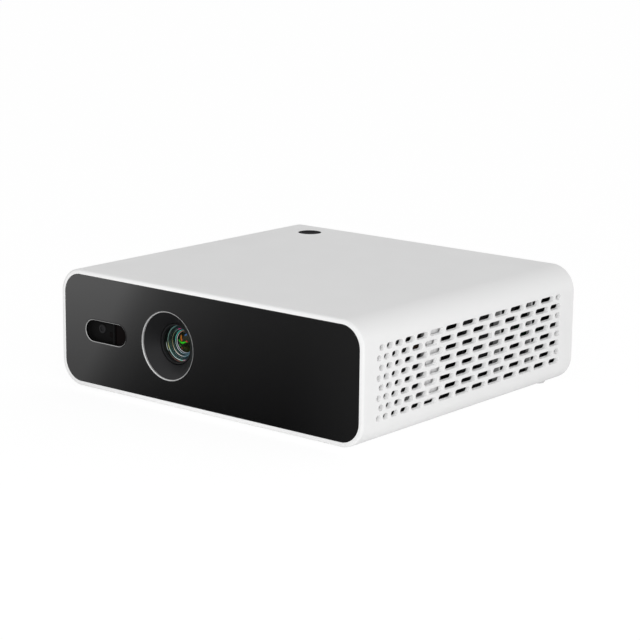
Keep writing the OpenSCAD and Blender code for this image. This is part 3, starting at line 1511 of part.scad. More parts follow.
housing_sleeve();
front_panel();
lens_trim_ring();
window_trim();
lens_shroud();
sensor_bezel();
focus_camera();
range_sensor();
ir_filter();
rear_panel();
rear_panel_screws();
chassis();
base_screws();
tripod_insert();
rubber_feet();
power_button();
button_switch();
button_post();
lens_barrel();
lens_carrier();
front_lens();
lens_retainer();
rear_lens();
focus_ring();
focus_motor();
focus_pinion();
engine_housing();
engine_cover();
prism();
dichroic_plates();
relay_lens();
red_lamp();
green_lamp();
blue_lamp();
micromirror_board();
micromirror_heatsink();
heat_pipes();
fin_stack();
fan_frame();
fan_rotor();
upper_deck();
main_board();
hdmi_socket();
usb_sockets();
audio_jack();
power_board();
dc_inlet();
battery_pack();
speakers();
side_bracket();
drive_case();
drive_cover();
disc_tray();
tray_bezel();
eject_button();
tray_rails();
traverse_unit();
turntable();
optical_sled();
lead_screw();
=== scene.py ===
"""Looks of the small projector with a disc drive: a white sleeve with graded slots, a black glossy
front panel with the lens and the sensor window, and everything that shows through them.

Every length is in metres. Places come from the frame's nodes, and the sizes below repeat the part's own."""

import json
import math

import bpy
from mathutils import Matrix, Vector
from mathutils.geometry import delaunay_2d_cdt


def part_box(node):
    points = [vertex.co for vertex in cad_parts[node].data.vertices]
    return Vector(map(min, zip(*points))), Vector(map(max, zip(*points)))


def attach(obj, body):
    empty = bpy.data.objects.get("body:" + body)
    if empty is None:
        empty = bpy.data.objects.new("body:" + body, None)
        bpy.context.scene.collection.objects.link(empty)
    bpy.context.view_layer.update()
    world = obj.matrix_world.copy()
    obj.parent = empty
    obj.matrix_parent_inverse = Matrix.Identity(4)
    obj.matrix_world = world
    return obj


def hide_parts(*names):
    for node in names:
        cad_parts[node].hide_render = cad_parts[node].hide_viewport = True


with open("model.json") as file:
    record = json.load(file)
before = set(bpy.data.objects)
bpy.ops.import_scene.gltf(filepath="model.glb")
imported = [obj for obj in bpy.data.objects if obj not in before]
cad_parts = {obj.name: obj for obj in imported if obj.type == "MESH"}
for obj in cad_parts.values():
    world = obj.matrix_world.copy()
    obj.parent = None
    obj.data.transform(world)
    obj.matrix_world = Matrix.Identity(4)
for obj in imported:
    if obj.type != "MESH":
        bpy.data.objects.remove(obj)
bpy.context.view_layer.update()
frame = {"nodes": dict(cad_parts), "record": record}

MM = 0.001

# ------------------------------------------------------------------ sizes, in metres
# Sleeve
sleeve_low, sleeve_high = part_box("housing_sleeve")
_, FRONT, BASE = sleeve_low
RIGHT, REAR, TOP = sleeve_high
MID_Z = (BASE + TOP) / 2
WALL = 2.4 * MM
EDGE_R = 13 * MM
FLAT_X = RIGHT - EDGE_R  # where the flat top ends
FLAT_Z = (TOP - BASE) / 2 - EDGE_R  # where the flat sides end, above and below the middle
ARC_STEPS = 32  # along each long edge
RIM_R = 1.3 * MM
REAR_ROUND = 0.3 * MM
INNER_ROUND = 0.25 * MM
OVER_FLAT = 1.2 * MM  # how far the slotted side walls run into the long edges
CHANNEL_R = 3.4 * MM
CHANNEL_SEAT = 3 * MM
CHANNEL_BORE_R = 1.3 * MM

# Front panel and its pegs, which sit in the sleeve's screw channels
PANEL_GAP = 0.1 * MM
PANEL_RECESS = 0.2 * MM
PANEL_T = 2.2 * MM
PANEL_BACK = PANEL_RECESS + PANEL_T
PANEL_EDGE = 0.2 * MM
HOLE_EDGE = 0.1 * MM
PEG_R = 1.25 * MM
PEG_LENGTH = 5 * MM
PEG_ROOT = 0.3 * MM  # how far inside the panel a peg starts

# Sensor window
WINDOW_X = -66 * MM
WINDOW_LEN = 29 * MM
WINDOW_R = 6.05 * MM
WINDOW_FRONT = 0.05 * MM
WINDOW_LAND = 0.33 * MM
WINDOW_LIP = 0.25 * MM

# Lens, with its depths counted from the front plane
LENS_X = -23.9 * MM
LENS_RING_R = 17.5 * MM
LENS_DEPTH = 6.5 * MM
LENS_STEPS = 128
RING_BACK = 1.2 * MM
RING_LAND = 0.4 * MM
BEVEL = 0.7 * MM
CARRIER_R = 10 * MM
RETAINER_H = 1.5 * MM
RETAINER_HOLE = CARRIER_R - 1 * MM
THROAT = CARRIER_R + 0.4 * MM
THROAT_BACK = LENS_DEPTH + 1.6 * MM
SHROUD_WALL = 1.2 * MM
SHROUD_FLANGE = 3.5 * MM
GLASS_R = CARRIER_R - 0.6 * MM
GLASS_DOME = 42 * MM
GLASS_DEPTH = LENS_DEPTH + RETAINER_H + 0.35 * MM
GLASS_T = 0.3 * MM

# Block of lens elements behind the front glass
BLOCK_EDGE = GLASS_DEPTH + 0.7 * MM
BLOCK_WAIST_R = 7.9 * MM
BLOCK_STEP = 13 * MM
BLOCK_RIM = 12.9 * MM
BLOCK_BEHIND = 2.2 * MM  # what is left of it behind the last element's face
LAST_DOME = 9 * MM
# Its rims, which carry painted reflections: radius, depth, width, material
REFLECTION_RIMS = (
    (8.95 * MM, 8.95 * MM, 0.30 * MM, "painted_reflection_glint"),
    (8.55 * MM, 9.75 * MM, 0.26 * MM, "painted_reflection_outer"),
    (8.05 * MM, 10.1 * MM, 0.14 * MM, "painted_reflection_dim"),
    (7.45 * MM, 10.5 * MM, 0.14 * MM, "painted_reflection_dim"),
    (6.75 * MM, 11.0 * MM, 0.24 * MM, "painted_reflection_mid"),
    (6.40 * MM, 11.6 * MM, 0.10 * MM, "painted_reflection_dim"),
    (5.90 * MM, 12.4 * MM, 0.17 * MM, "painted_reflection_teal"),
    (5.35 * MM, 12.9 * MM, 0.17 * MM, "painted_reflection_inner"),
)
RIM_SLOPE = 0.5

# Graded slots, from the front to the rear, and the ribs behind them: (distance from the front, depth)
VENT_ROWS = 8
VENT_ROW_PITCH = 4.7 * MM
VENT_H = 2.8 * MM
VENT_WEB = 1.9 * MM
VENT_FIRST = 10 * MM
VENT_SHIFT = 1.7 * MM
VENT_PITCH_FIRST = 5.1 * MM
VENT_GROWTH = 0.18
VENT_PITCH_MAX = 13.5 * MM
VENT_REAR_MARGIN = 12.5 * MM
VENT_LEAST = VENT_H + 0.02 * MM  # shortest slot
VENT_ROUND = 0.3 * MM
RIBS = ((111.3 * MM, 3.9 * MM), (138.5 * MM, 2.4 * MM))
RIB_T = 1 * MM
RIB_H = 38 * MM

# Other openings of the sleeve
SMALL_EDGE = 0.2 * MM
BUTTON_HOLE_R = 6.4 * MM
MOUTH_GAP = 0.6 * MM
MOUTH_R = 1.4 * MM
MOUTH_CLEAR = 2 * MM  # from the disc mouth up to the lowest slots
SCREW_HEAD_R = 2.9 * MM
SCREW_HOLE_R = 1.5 * MM
SCREW_INSET = 2.8 * MM  # from the box round all base screws to their axes
INSERT_R = 6.02 * MM

# ------------------------------------------------------------------ camera
# The photograph's camera, about the middle of the housing: directions in degrees, lengths in metres.
CAMERA_AZIMUTH = 39.152
CAMERA_ELEVATION = 12.752
CAMERA_ROLL = 0.633
CAMERA_DISTANCE = 1.035619
CAMERA_RIGHT = 0.00056
CAMERA_UP = 0.002045
FOCAL_PIXELS = 2030.762
PHOTO_PIXELS = 640
SENSOR_MM = 36

# ------------------------------------------------------------------ light
# Light from the surroundings on diffuse surfaces: its mean, how much it grows towards one side, its least
SKY_LIGHT = 0.66
SKY_SLOPE = 0.22
SKY_TOWARDS = (0.68, -0.72, 0.0)
SKY_LEAST = 0.05

# Key lamp: direction in degrees, lengths in metres, power in watts
KEY_AZIMUTH = 52
KEY_ELEVATION = 16
KEY_DISTANCE = 0.9
KEY_SIZE = 0.7
KEY_POWER = 2.2

# Floor as the camera sees it (its own white and what shadows take away), and as it lights the object:
# its albedo, its own light, which falls off to the left, and more of it in front of the panel
FLOOR_HALF = 4.0
FLOOR_WHITE = 0.9
FLOOR_SHADOW = 0.14
FLOOR_ALBEDO = 0.7
FLOOR_GLOW = 0.52
LEFT_GLOW = 0.3
LEFT_GLOW_X = 0.12  # it reaches LEFT_GLOW at X = -LEFT_GLOW_X, over a width of LEFT_GLOW_WIDE
LEFT_GLOW_WIDE = 0.09
FRONT_GLOW = 0.9
FRONT_GLOW_START = 0.02  # full from here on in front of the panel
FRONT_GLOW_END = 0.1  # and none from here on to the right

# Floor in mirror-like surfaces: its tone against the place across, which slides to the right by GLOSS_FALL
# for each metre in front of the panel. At the panel only GLOSS_NEAR of the tone is left, and all of it from
# GLOSS_FAR on. HOLD_STOPS say how much of this loss is left out.
GLOSS_FALL = 0.8141
GLOSS_STOPS = ((-0.30, 1.0), (-0.088, 0.86), (-0.070, 0.50), (-0.050, 0.31), (0.0, 0.17), (0.030, 0.14),
               (0.060, 0.13), (0.091, 0.15), (0.4, 0.22))
HOLD_STOPS = ((-0.30, 0.5), (-0.088, 0.4), (-0.030, 0.0), (0.050, 0.0), (0.091, 0.6), (0.4, 0.6))
GLOSS_NEAR = 0.24
GLOSS_FAR = 0.188

# ------------------------------------------------------------------ painted reflections in the lens
GLINT = 0.36  # how strongly the painted reflections show and glow, as if they mirrored a bright room
BLACK = (0.006, 0.008, 0.008)
# Painted reflections round the lens axis: (turn in degrees from +X towards +Z, colour)
PAINTED_REFLECTIONS = {
    "painted_reflection_glint": (
        (-177, BLACK), (-169, (0.45, 0.52, 0.50)), (-152, (0.45, 0.52, 0.50)), (-145, BLACK),
        (-130, (0.10, 0.06, 0.05)), (-92, (0.20, 0.08, 0.06)), (-84, (0.10, 0.08, 0.02)),
        (-60, (0.12, 0.06, 0.06)), (-30, BLACK), (150, BLACK)),
    "painted_reflection_outer": (
        (-179, (0.14, 0.24, 0.22)), (-158, (0.75, 0.80, 0.30)), (-147, (0.50, 0.75, 0.70)),
        (-120, (0.60, 0.85, 0.82)), (-98, (0.95, 1.0, 1.0)), (-88, (0.15, 1.0, 0.75)),
        (-78, (1.0, 0.50, 0.65)), (-55, (0.35, 0.65, 0.75)), (-25, (0.05, 0.12, 0.16)), (30, BLACK),
        (75, (0.05, 0.16, 0.16)), (120, (0.16, 0.36, 0.32)), (150, (0.18, 0.32, 0.28))),
    "painted_reflection_dim": (
        (-179, (0.07, 0.12, 0.08)), (-135, (0.10, 0.28, 0.25)), (-95, (0.14, 0.26, 0.28)),
        (-50, (0.04, 0.12, 0.18)), (0, BLACK), (90, (0.02, 0.07, 0.09)), (125, (0.03, 0.07, 0.07)),
        (150, (0.04, 0.07, 0.06))),
    "painted_reflection_mid": (
        (-179, (0.26, 0.24, 0.09)), (-150, (0.50, 0.45, 0.30)), (-125, (1.0, 0.96, 0.86)),
        (-100, (0.95, 0.90, 0.86)), (-80, (0.45, 0.70, 0.78)), (-45, (0.18, 0.36, 0.48)), (0, BLACK),
        (80, BLACK), (98, (0.10, 0.12, 0.15)), (104, (1.0, 0.06, 0.35)), (112, (1.0, 0.08, 0.40)),
        (118, (0.10, 0.30, 0.28)), (150, (0.16, 0.18, 0.09))),
    "painted_reflection_teal": (
        (-179, (0.45, 0.80, 0.75)), (-140, (0.85, 0.95, 0.98)), (-100, (0.45, 0.70, 0.80)),
        (-50, (0.12, 0.30, 0.45)), (0, BLACK), (80, (0.05, 0.10, 0.25)), (115, (0.12, 0.90, 0.78)),
        (150, (0.15, 1.0, 0.82))),
    "painted_reflection_inner": (
        (-179, (0.95, 0.97, 1.0)), (-150, (0.92, 0.85, 1.0)), (-110, (0.90, 0.93, 1.0)),
        (-60, (0.25, 0.42, 0.58)), (0, (0.10, 0.02, 0.02)), (60, (0.15, 0.05, 0.03)),
        (110, (0.70, 0.35, 0.22)), (150, (1.0, 0.85, 0.82))),
}
# Painted reflections on the rear element, as streaks: place from the lens axis, half width and half height in
# mm, colour
REFLECTION_STREAKS = (
    (0.0, -4.0, 4.5, 2.2, (0.035, 0.040, 0.006)), (-1.6, -0.2, 4.0, 0.55, (0.04, 1.0, 0.02)),
    (-3.6, -2.6, 0.9, 0.7, (0.05, 0.50, 0.03)), (-2.3, 2.2, 0.75, 1.3, (0.95, 0.30, 0.04)),
    (-1.6, 1.2, 0.6, 0.8, (0.85, 0.20, 0.03)), (1.7, 0.2, 0.7, 0.45, (0.75, 0.05, 0.05)),
    (-2.0, -3.1, 0.45, 0.4, (0.65, 0.05, 0.04)), (0.6, 3.4, 0.8, 0.6, (0.04, 0.16, 0.45)))
STREAK_FALL = 1.4  # how steeply a streak fades towards its edge
WAVE = 1100.0  # the streaks waver up and down along X, in radians for each metre, by this much
WAVE_HIGH = 0.4 * MM


def direction(azimuth, elevation):
    """Unit vector from the housing outwards, in degrees: azimuth 0 is the front, and 90 is the right."""
    az, el = math.radians(azimuth), math.radians(elevation)
    return Vector((math.sin(az) * math.cos(el), -math.cos(az) * math.cos(el), math.sin(el)))


def make_camera():
    back = direction(CAMERA_AZIMUTH, CAMERA_ELEVATION)
    roll = math.radians(CAMERA_ROLL)
    level_right = Vector((0, 0, 1)).cross(back).normalized()
    level_up = back.cross(level_right)
    right = math.cos(roll) * level_right + math.sin(roll) * level_up
    up = -math.sin(roll) * level_right + math.cos(roll) * level_up
    centre = Vector((0, 0, MID_Z))
    place = centre + back * CAMERA_DISTANCE + right * CAMERA_RIGHT + up * CAMERA_UP
    data = bpy.data.cameras.new("camera")
    data.sensor_width = SENSOR_MM
    data.lens = FOCAL_PIXELS / PHOTO_PIXELS * SENSOR_MM
    data.clip_start = 0.01
    data.clip_end = 20
    camera = bpy.data.objects.new("camera", data)
    bpy.context.scene.collection.objects.link(camera)
    axes = Matrix((right, up, back)).transposed()
    camera.matrix_world = Matrix.Translation(place) @ axes.to_4x4()
    bpy.context.scene.camera = camera


# ------------------------------------------------------------------ nodes
def feed(tree, node, inputs):
    """Links a node's inputs to outputs, or sets numbers and colours on them; inputs are by name or place."""
    for key, value in inputs.items():
        if isinstance(value, bpy.types.NodeSocket):
            tree.links.new(value, node.inputs[key])
        else:
            node.inputs[key].default_value = (*value, 1) if isinstance(value, (list, tuple)) else value


def add_node(tree, kind, inputs=None):
    node = tree.nodes.new("ShaderNode" + kind)
    feed(tree, node, inputs or {})
    return node


def add_shader(tree, kind, inputs=None):
    """A shader's output. A MixShader takes {0: factor, 1: shader at 0, 2: shader at 1}."""
    return add_node(tree, kind, inputs).outputs[0]


def add_math(tree, operation, a, b=0.0, clamp=False):
    node = add_node(tree, "Math", {0: a, 1: b})
    node.operation = operation
    node.use_clamp = clamp
    return node.outputs["Value"]


def map_range(tree, value, low, high, to_low=0.0, to_high=1.0):
    """Maps low..high to to_low..to_high, and holds the ends."""
    ends = {"From Min": low, "From Max": high, "To Min": to_low, "To Max": to_high}
    return add_node(tree, "MapRange", {"Value": value, **ends}).outputs["Result"]


def mixed(tree, fac, a, b):
    """Mixes two colours, each given or an output, by a 0..1 value."""
    node = add_node(tree, "Mix")
    node.data_type = "RGBA"
    feed(tree, node, {"Factor": fac, "A": a, "B": b})
    return node.outputs["Result"]


def colour_ramp(tree, value, low, high, stops):
    """A colour that runs through the stops, each (value, colour), in rising order."""
    node = add_node(tree, "ValToRGB", {"Fac": map_range(tree, value, low, high)})
    elements = node.color_ramp.elements
    while len(elements) > 1:
        elements.remove(elements[-1])
    for i, (at, colour) in enumerate(stops):
        position = (at - low) / (high - low)
        element = elements[0] if i == 0 else elements.new(position)
        element.position = position
        element.color = (*colour, 1)
    return node.outputs["Color"]


def grey_ramp(tree, value, stops):
    """A tone that runs through the stops, each (value, tone)."""
    return colour_ramp(tree, value, stops[0][0], stops[-1][0], [(at, (tone,) * 3) for at, tone in stops])


def noise(tree, scale, detail=2.0, stretch=(1, 1, 1)):
    """Noise over object coordinates in metres; stretch draws the grain out along an axis."""
    mapping = add_node(tree, "Mapping", {"Vector": add_node(tree, "TexCoord").outputs["Object"]})
    mapping.inputs["Scale"].default_value = stretch
    grain = {"Vector": mapping.outputs["Vector"], "Scale": scale, "Detail": detail}
    return add_node(tree, "TexNoise", grain).outputs["Fac"]


def spread(tree, fac, low, high):
    """Maps the middle of a noise to low..high."""
    return map_range(tree, fac, 0.3, 0.7, low, high)


def varied(tree, fac, colour, vary):
    """A colour that turns a little darker and lighter with a noise."""
    return mixed(tree, fac, [c * (1 - vary) for c in colour], [min(1, c * (1 + vary)) for c in colour])


def split(tree, place):
    """X, Y and Z of a place."""
    return add_node(tree, "SeparateXYZ", {"Vector": place}).outputs


def from_lens_axis(tree):
    """How far a place lies to the right of the lens axis, and above it."""
    parts = split(tree, add_node(tree, "TexCoord").outputs["Object"])
    return [add_math(tree, "SUBTRACT", parts[axis], at) for axis, at in (("X", LENS_X), ("Z", MID_Z))]


def add_bump(tree, shader, fac, distance, strength, edge=0.0):
    """Grain in the normal; edge is the radius that the sharp edges of a plain solid seem to have."""
    node = add_node(tree, "Bump", {"Distance": distance, "Strength": strength, "Height": fac})
    if edge:
        feed(tree, node, {"Normal": add_node(tree, "Bevel", {"Radius": edge}).outputs["Normal"]})
    feed(tree, shader, {"Normal": node.outputs["Normal"]})


# ------------------------------------------------------------------ materials
MATERIALS = {}


def add_material(name):
    """Adds a material, and returns its node tree and its Principled shader."""
    mat = bpy.data.materials.new(name)
    mat.use_nodes = True
    MATERIALS[name] = mat
    return mat.node_tree, mat.node_tree.nodes["Principled BSDF"]


def plastic(name, colour, rough, vary=0.03, grain=2500, bump=0.004 * MM, coat=0.0, specular=0.5, edge=0.0):
    """Moulded plastic: a fine pebbled skin, faint mottling and uneven gloss."""
    tree, shader = add_material(name)
    mottle = noise(tree, 60, 3)
    feed(tree, shader, {"Base Color": varied(tree, mottle, colour, vary),
                        "Roughness": spread(tree, mottle, rough * 0.9, rough * 1.1),
                        "Coat Weight": coat, "Coat Roughness": 0.03, "Specular IOR Level": specular})
    add_bump(tree, shader, noise(tree, grain, 2), bump, 0.6, edge)
    return tree, shader


def shade_lined(name, colour, rough, edge):
    """Rear panel: pebbled plastic outside, and black behind its inner face as painted shade for the dark
    inside.
    """
    tree, shader = plastic(name, colour, rough, 0.015, 2200, 0.012 * MM, edge=edge)
    pebbled = shader.inputs["Base Color"].links[0].from_socket
    parts = split(tree, add_node(tree, "TexCoord").outputs["Object"])
    outside = add_math(tree, "GREATER_THAN", parts["Y"], REAR - PANEL_T)
    feed(tree, shader, {"Base Color": mixed(tree, outside, (0.02, 0.02, 0.021), pebbled)})


def metal(name, colour, rough, stretch=(1, 1, 1), grain=900, vary=0.06, bump=0.002 * MM, edge=0.0,
          metallic=1.0):
    """Metal with a drawn or rolled grain along one axis; metallic is below 1 under a satin lacquer."""
    tree, shader = add_material(name)
    lines = noise(tree, grain, 3, stretch)
    feed(tree, shader, {"Base Color": varied(tree, lines, colour, vary), "Metallic": metallic,
                        "Roughness": spread(tree, lines, rough * 0.8, rough * 1.25)})
    add_bump(tree, shader, lines, bump, 0.5, edge)


def board(name):
    """Dark green solder mask over a faint net of copper tracks."""
    tree, shader = add_material(name)
    tracks = add_node(tree, "TexBrick", {
        "Vector": add_node(tree, "TexCoord").outputs["Object"], "Scale": 180, "Mortar Size": 0.03,
        "Color1": (0.004, 0.028, 0.014), "Color2": (0.005, 0.034, 0.017), "Mortar": (0.012, 0.055, 0.028)})
    feed(tree, shader, {"Base Color": tracks.outputs["Color"],
                        "Roughness": spread(tree, noise(tree, 300), 0.25, 0.4)})
    add_bump(tree, shader, tracks.outputs["Fac"], 0.02 * MM, 0.3)


def glass(name, colour, film):
    """Clear glass block; film is the thickness of its coating in nanometres."""
    tree, shader = add_material(name)
    clean = noise(tree, 400)
    feed(tree, shader, {"Base Color": mixed(tree, clean, [c * 0.98 for c in colour], colour),
                        "Roughness": spread(tree, clean, 0.0, 0.01), "Transmission Weight": 1.0,
                        "IOR": 1.5, "Thin Film Thickness": film, "Thin Film IOR": 1.8})


def coated_pane(name, colour, alpha):
    """Front glass with an anti-reflection coating: mostly clear, with a weak tinted reflection."""
    tree, shader = add_material(name)
    clean = noise(tree, 400)
    feed(tree, shader, {"Base Color": mixed(tree, clean, [c * 0.8 for c in colour], colour),
                        "Roughness": spread(tree, clean, 0.02, 0.04), "Alpha": alpha,
                        "Specular IOR Level": 0.15})


def glinting(tree, shader, colour, glow, metallic):
    """Gives a lens surface its colour, a painted reflection that also glows though nothing lights it."""
    feed(tree, shader, {"Base Color": colour, "Emission Color": colour, "Emission Strength": glow,
                        "Roughness": spread(tree, noise(tree, 1500), 0.2, 0.3), "Metallic": metallic})


def painted_reflection(name, stops):
    """Edge of a lens element, with a painted reflection whose colour runs round the lens axis."""
    tree, shader = add_material(name)
    x, z = from_lens_axis(tree)
    turn = add_math(tree, "ARCTAN2", z, x)
    stops = [(math.radians(degrees), colour) for degrees, colour in stops]
    glinting(tree, shader, colour_ramp(tree, turn, -math.pi, math.pi, stops), GLINT, 0.2)


def element_face(name):
    """Rear element: almost black, with coloured streaks of painted reflection across it, which also glow."""
    tree, shader = add_material(name)
    x, z = from_lens_axis(tree)
    wave = add_math(tree, "SINE", add_math(tree, "MULTIPLY", x, WAVE))
    waved_z = add_math(tree, "SUBTRACT", z, add_math(tree, "MULTIPLY", wave, WAVE_HIGH))
    colour = mixed(tree, noise(tree, 900, 3), (0.004, 0.006, 0.002), (0.030, 0.034, 0.008))
    for at_x, at_z, wide, high, tone in REFLECTION_STREAKS:
        dx = add_math(tree, "DIVIDE", add_math(tree, "SUBTRACT", x, at_x * MM), wide * MM)
        dz = add_math(tree, "DIVIDE", add_math(tree, "SUBTRACT", waved_z, at_z * MM), high * MM)
        far = add_math(tree, "ADD", add_math(tree, "MULTIPLY", dx, dx), add_math(tree, "MULTIPLY", dz, dz))
        fade = add_math(tree, "MULTIPLY", far, STREAK_FALL)
        colour = mixed(tree, add_math(tree, "SUBTRACT", STREAK_FALL, fade, clamp=True), colour, tone)
    glinting(tree, shader, colour, GLINT / 2, 0.4)


def make_materials():
    edge = 0.15 * MM
    plastic("white_shell", (0.80, 0.80, 0.80), 0.42, 0.008, 3500, 0.003 * MM)
    # Painted shade: the ribs are the shell's plastic darkened, for the shade inside the housing
    plastic("white_rib_shade", (0.42, 0.42, 0.42), 0.5, 0.008, 3500, 0.003 * MM)
    # Painted light: the slots' walls are a lighter copy of the shell's plastic, and glow a little
    tree, shader = plastic("white_bore_glow", (0.93, 0.93, 0.93), 0.5, 0.008, 3500, 0.003 * MM)
    feed(tree, shader, {"Emission Color": (1, 1, 1), "Emission Strength": 0.05})
    # Painted shade: the sleeve's inner faces are black, for the dark inside the housing
    plastic("shell_inside_shade", (0.02, 0.02, 0.021), 0.6, 0.1, 2500, 0.01 * MM, specular=0.2)
    plastic("panel_black", (0.0015, 0.0015, 0.0017), 0.12, 0.05, 900, 0.0004 * MM, coat=1.0)
    plastic("inner_black", (0.008, 0.008, 0.009), 0.5, 0.1, 3000, 0.006 * MM, specular=0.35)
    plastic("mount_black", (0.004, 0.004, 0.004), 0.5, 0.1, 3000, 0.002 * MM, specular=0.08)
    plastic("pocket_black", (0.007, 0.007, 0.007), 0.6, 0.1, 3000, 0.004 * MM, specular=0.02)
    # Painted highlight: the camera is a little lighter than the pocket round it, for the glint on its lens
    plastic("camera_dark", (0.020, 0.020, 0.021), 0.5, 0.1, 3000, 0.004 * MM, specular=0.05)
    plastic("filter_dark", (0.003, 0.002, 0.002), 0.12, 0.05, 900, 0.0004 * MM, specular=0.04)
    plastic("rear_white", (0.78, 0.78, 0.78), 0.5, 0.015, 2200, 0.012 * MM, edge=0.2 * MM)
    # Painted shade: the rear panel is black behind its inner face
    shade_lined("rear_shade_lined", (0.78, 0.78, 0.78), 0.5, 0.2 * MM)
    plastic("foot_rubber", (0.62, 0.62, 0.62), 0.75, 0.06, 2600, 0.02 * MM)
    plastic("button_black", (0.009, 0.009, 0.010), 0.7, 0.05, 2500, 0.002 * MM, specular=0.02)
    plastic("battery_wrap", (0.010, 0.012, 0.026), 0.3, 0.08, 500, 0.01 * MM)
    plastic("gear_ivory", (0.62, 0.57, 0.44), 0.4, 0.04)
    plastic("tray_dark", (0.022, 0.022, 0.024), 0.45, 0.08, 2400, 0.01 * MM, edge=0.2 * MM)
    plastic("chassis_dark", (0.03, 0.03, 0.033), 0.5, 0.06, 1500, 0.01 * MM, edge=edge)
    plastic("lamp_red", (0.35, 0.05, 0.04), 0.35, edge=edge)
    plastic("lamp_green", (0.05, 0.25, 0.07), 0.35, edge=edge)
    plastic("lamp_blue", (0.05, 0.08, 0.35), 0.35, edge=edge)
    metal("polished_trim", (0.66, 0.66, 0.66), 0.4, (1, 1, 1), 600, 0.02, 0.0, metallic=0.5)
    metal("window_trim", (0.45, 0.45, 0.45), 0.4, (1, 1, 1), 600, 0.02, 0.0, metallic=0.3)
    metal("sheet_steel", (0.58, 0.58, 0.59), 0.34, (1, 12, 1), edge=edge)
    metal("alloy", (0.66, 0.66, 0.68), 0.36, (10, 1, 1), edge=edge)
    metal("screw_steel", (0.42, 0.42, 0.43), 0.3, edge=edge)
    metal("insert_brass", (0.75, 0.55, 0.24), 0.28, edge=edge)
    metal("pipe_copper", (0.10, 0.06, 0.045), 0.5)
    board("board_green")
    glass("lens_glass", (0.92, 0.99, 0.96), 340)
    coated_pane("front_glass", (0.004, 0.010, 0.009), 0.12)
    element_face("element_face")
    for name, stops in PAINTED_REFLECTIONS.items():
        painted_reflection(name, stops)


def dress_nodes():
    """Gives every CAD node its slot's material, and three of them one of their own, the rear panel's with
    painted shade behind its inner face.
    """
    for part in frame["record"]["subparts"]:
        obj = frame["nodes"][part["node"]]
        obj.data.materials.clear()
        obj.data.materials.append(MATERIALS[part["material_slot"]])
    for node, material in (("sensor_bezel", "pocket_black"), ("focus_camera", "camera_dark"),
                           ("rear_panel", "rear_shade_lined")):
        frame["nodes"][node].data.materials[0] = MATERIALS[material]


# ------------------------------------------------------------------ mesh tools
CREASE = 30  # degrees: a turned surface is smooth over corners that turn less
WELD = 1e7  # corners closer than 1 / WELD become one vertex


class Skin:
    """Collects faces with a normal for each corner, and joins them into one mesh."""

    def __init__(self):
        self.points = []
        self.index = {}
        self.faces = []
        self.normals = []
        self.paints = []
        self.paint = 0

    def vertex(self, p):
        key = tuple(round(c * WELD) for c in p)
        if key not in self.index:
            self.index[key] = len(self.points)
            self.points.append(tuple(p))
        return self.index[key]

    def face(self, corners, normals):
        """A face through the corners; its winding is turned to agree with the normals."""
        ids = [self.vertex(p) for p in corners]
        keep = [i for i in range(len(ids)) if ids[i] != ids[i - 1]]
        if len({ids[i] for i in keep}) < 3:
            return
        ids = [ids[i] for i in keep]
        normals = [Vector(normals[i]).normalized() for i in keep]
        a, b, c = (Vector(self.points[i]) for i in ids[:3])
        if (b - a).cross(c - a).dot(sum(normals, Vector())) < 0:
            ids.reverse()
            normals.reverse()
        self.faces.append(ids)
        self.normals.extend(normals)
        self.paints.append(self.paint)

    def strip(self, row_a, row_b, normals_a, normals_b, closed=True):
        """Quads between two rows of points of equal length."""
        count = len(row_a)
        for i in range(count if closed else count - 1):
            j = (i + 1) % count
            self.face([row_a[i], row_a[j], row_b[j], row_b[i]],
                      [normals_a[i], normals_a[j], normals_b[j], normals_b[i]])

    def block(self, low, high):
        """A plain block between two corners."""
        for axis in range(3):
            u, v = (i for i in range(3) if i != axis)
            for side, at in ((-1, low), (1, high)):
                corners = []
                for cu, cv in ((low, low), (high, low), (high, high), (low, high)):
                    p = [0, 0, 0]
                    p[axis], p[u], p[v] = at[axis], cu[u], cv[v]
                    corners.append(p)
                normal = [0, 0, 0]
                normal[axis] = side
                self.face(corners, [normal] * 4)

    def build(self, name, *materials):
        """The mesh, with a material for each paint that the faces were given."""
        mesh = bpy.data.meshes.new(name)
        mesh.from_pydata(self.points, [], self.faces)
        for material in materials:
            mesh.materials.append(MATERIALS[material])
        mesh.polygons.foreach_set("use_smooth", [True] * len(mesh.polygons))
        mesh.polygons.foreach_set("material_index", self.paints)
        mesh.normals_split_custom_set([tuple(n) for n in self.normals])
        mesh.validate(clean_customdata=False)
        obj = bpy.data.objects.new(name, mesh)
        bpy.context.scene.collection.objects.link(obj)
        return obj


def inside(p, loop):
    """Whether a 2-D point lies inside a loop."""
    x, y = p
    hit = False
    for (x1, y1), (x2, y2) in zip(loop, loop[1:] + loop[:1]):
        if (y1 > y) != (y2 > y) and x < (x2 - x1) * (y - y1) / (y2 - y1) + x1:
            hit = not hit
    return hit


def plate(skin, outer, holes, place, normal):
    """Sheet inside an outer loop, less its holes; place and normal map 2-D points to 3-D."""
    points, edges = [], []
    for loop in [outer] + holes:
        start = len(points)
        points.extend(Vector(p) for p in loop)
        edges.extend((start + i, start + (i + 1) % len(loop)) for i in range(len(loop)))
    boxes = [(min(p[0] for p in h), max(p[0] for p in h), min(p[1] for p in h), max(p[1] for p in h), h)
             for h in holes]
    verts, _, faces, _, _, _ = delaunay_2d_cdt(points, edges, [], 0, 1e-9)
    for face in faces:
        cx = sum(verts[i][0] for i in face) / 3
        cy = sum(verts[i][1] for i in face) / 3
        if not inside((cx, cy), outer):
            continue
        if any(x0 < cx < x1 and y0 < cy < y1 and inside((cx, cy), h) for x0, x1, y0, y1, h in boxes):
            continue
        skin.face([place(verts[i]) for i in face], [normal(verts[i]) for i in face])


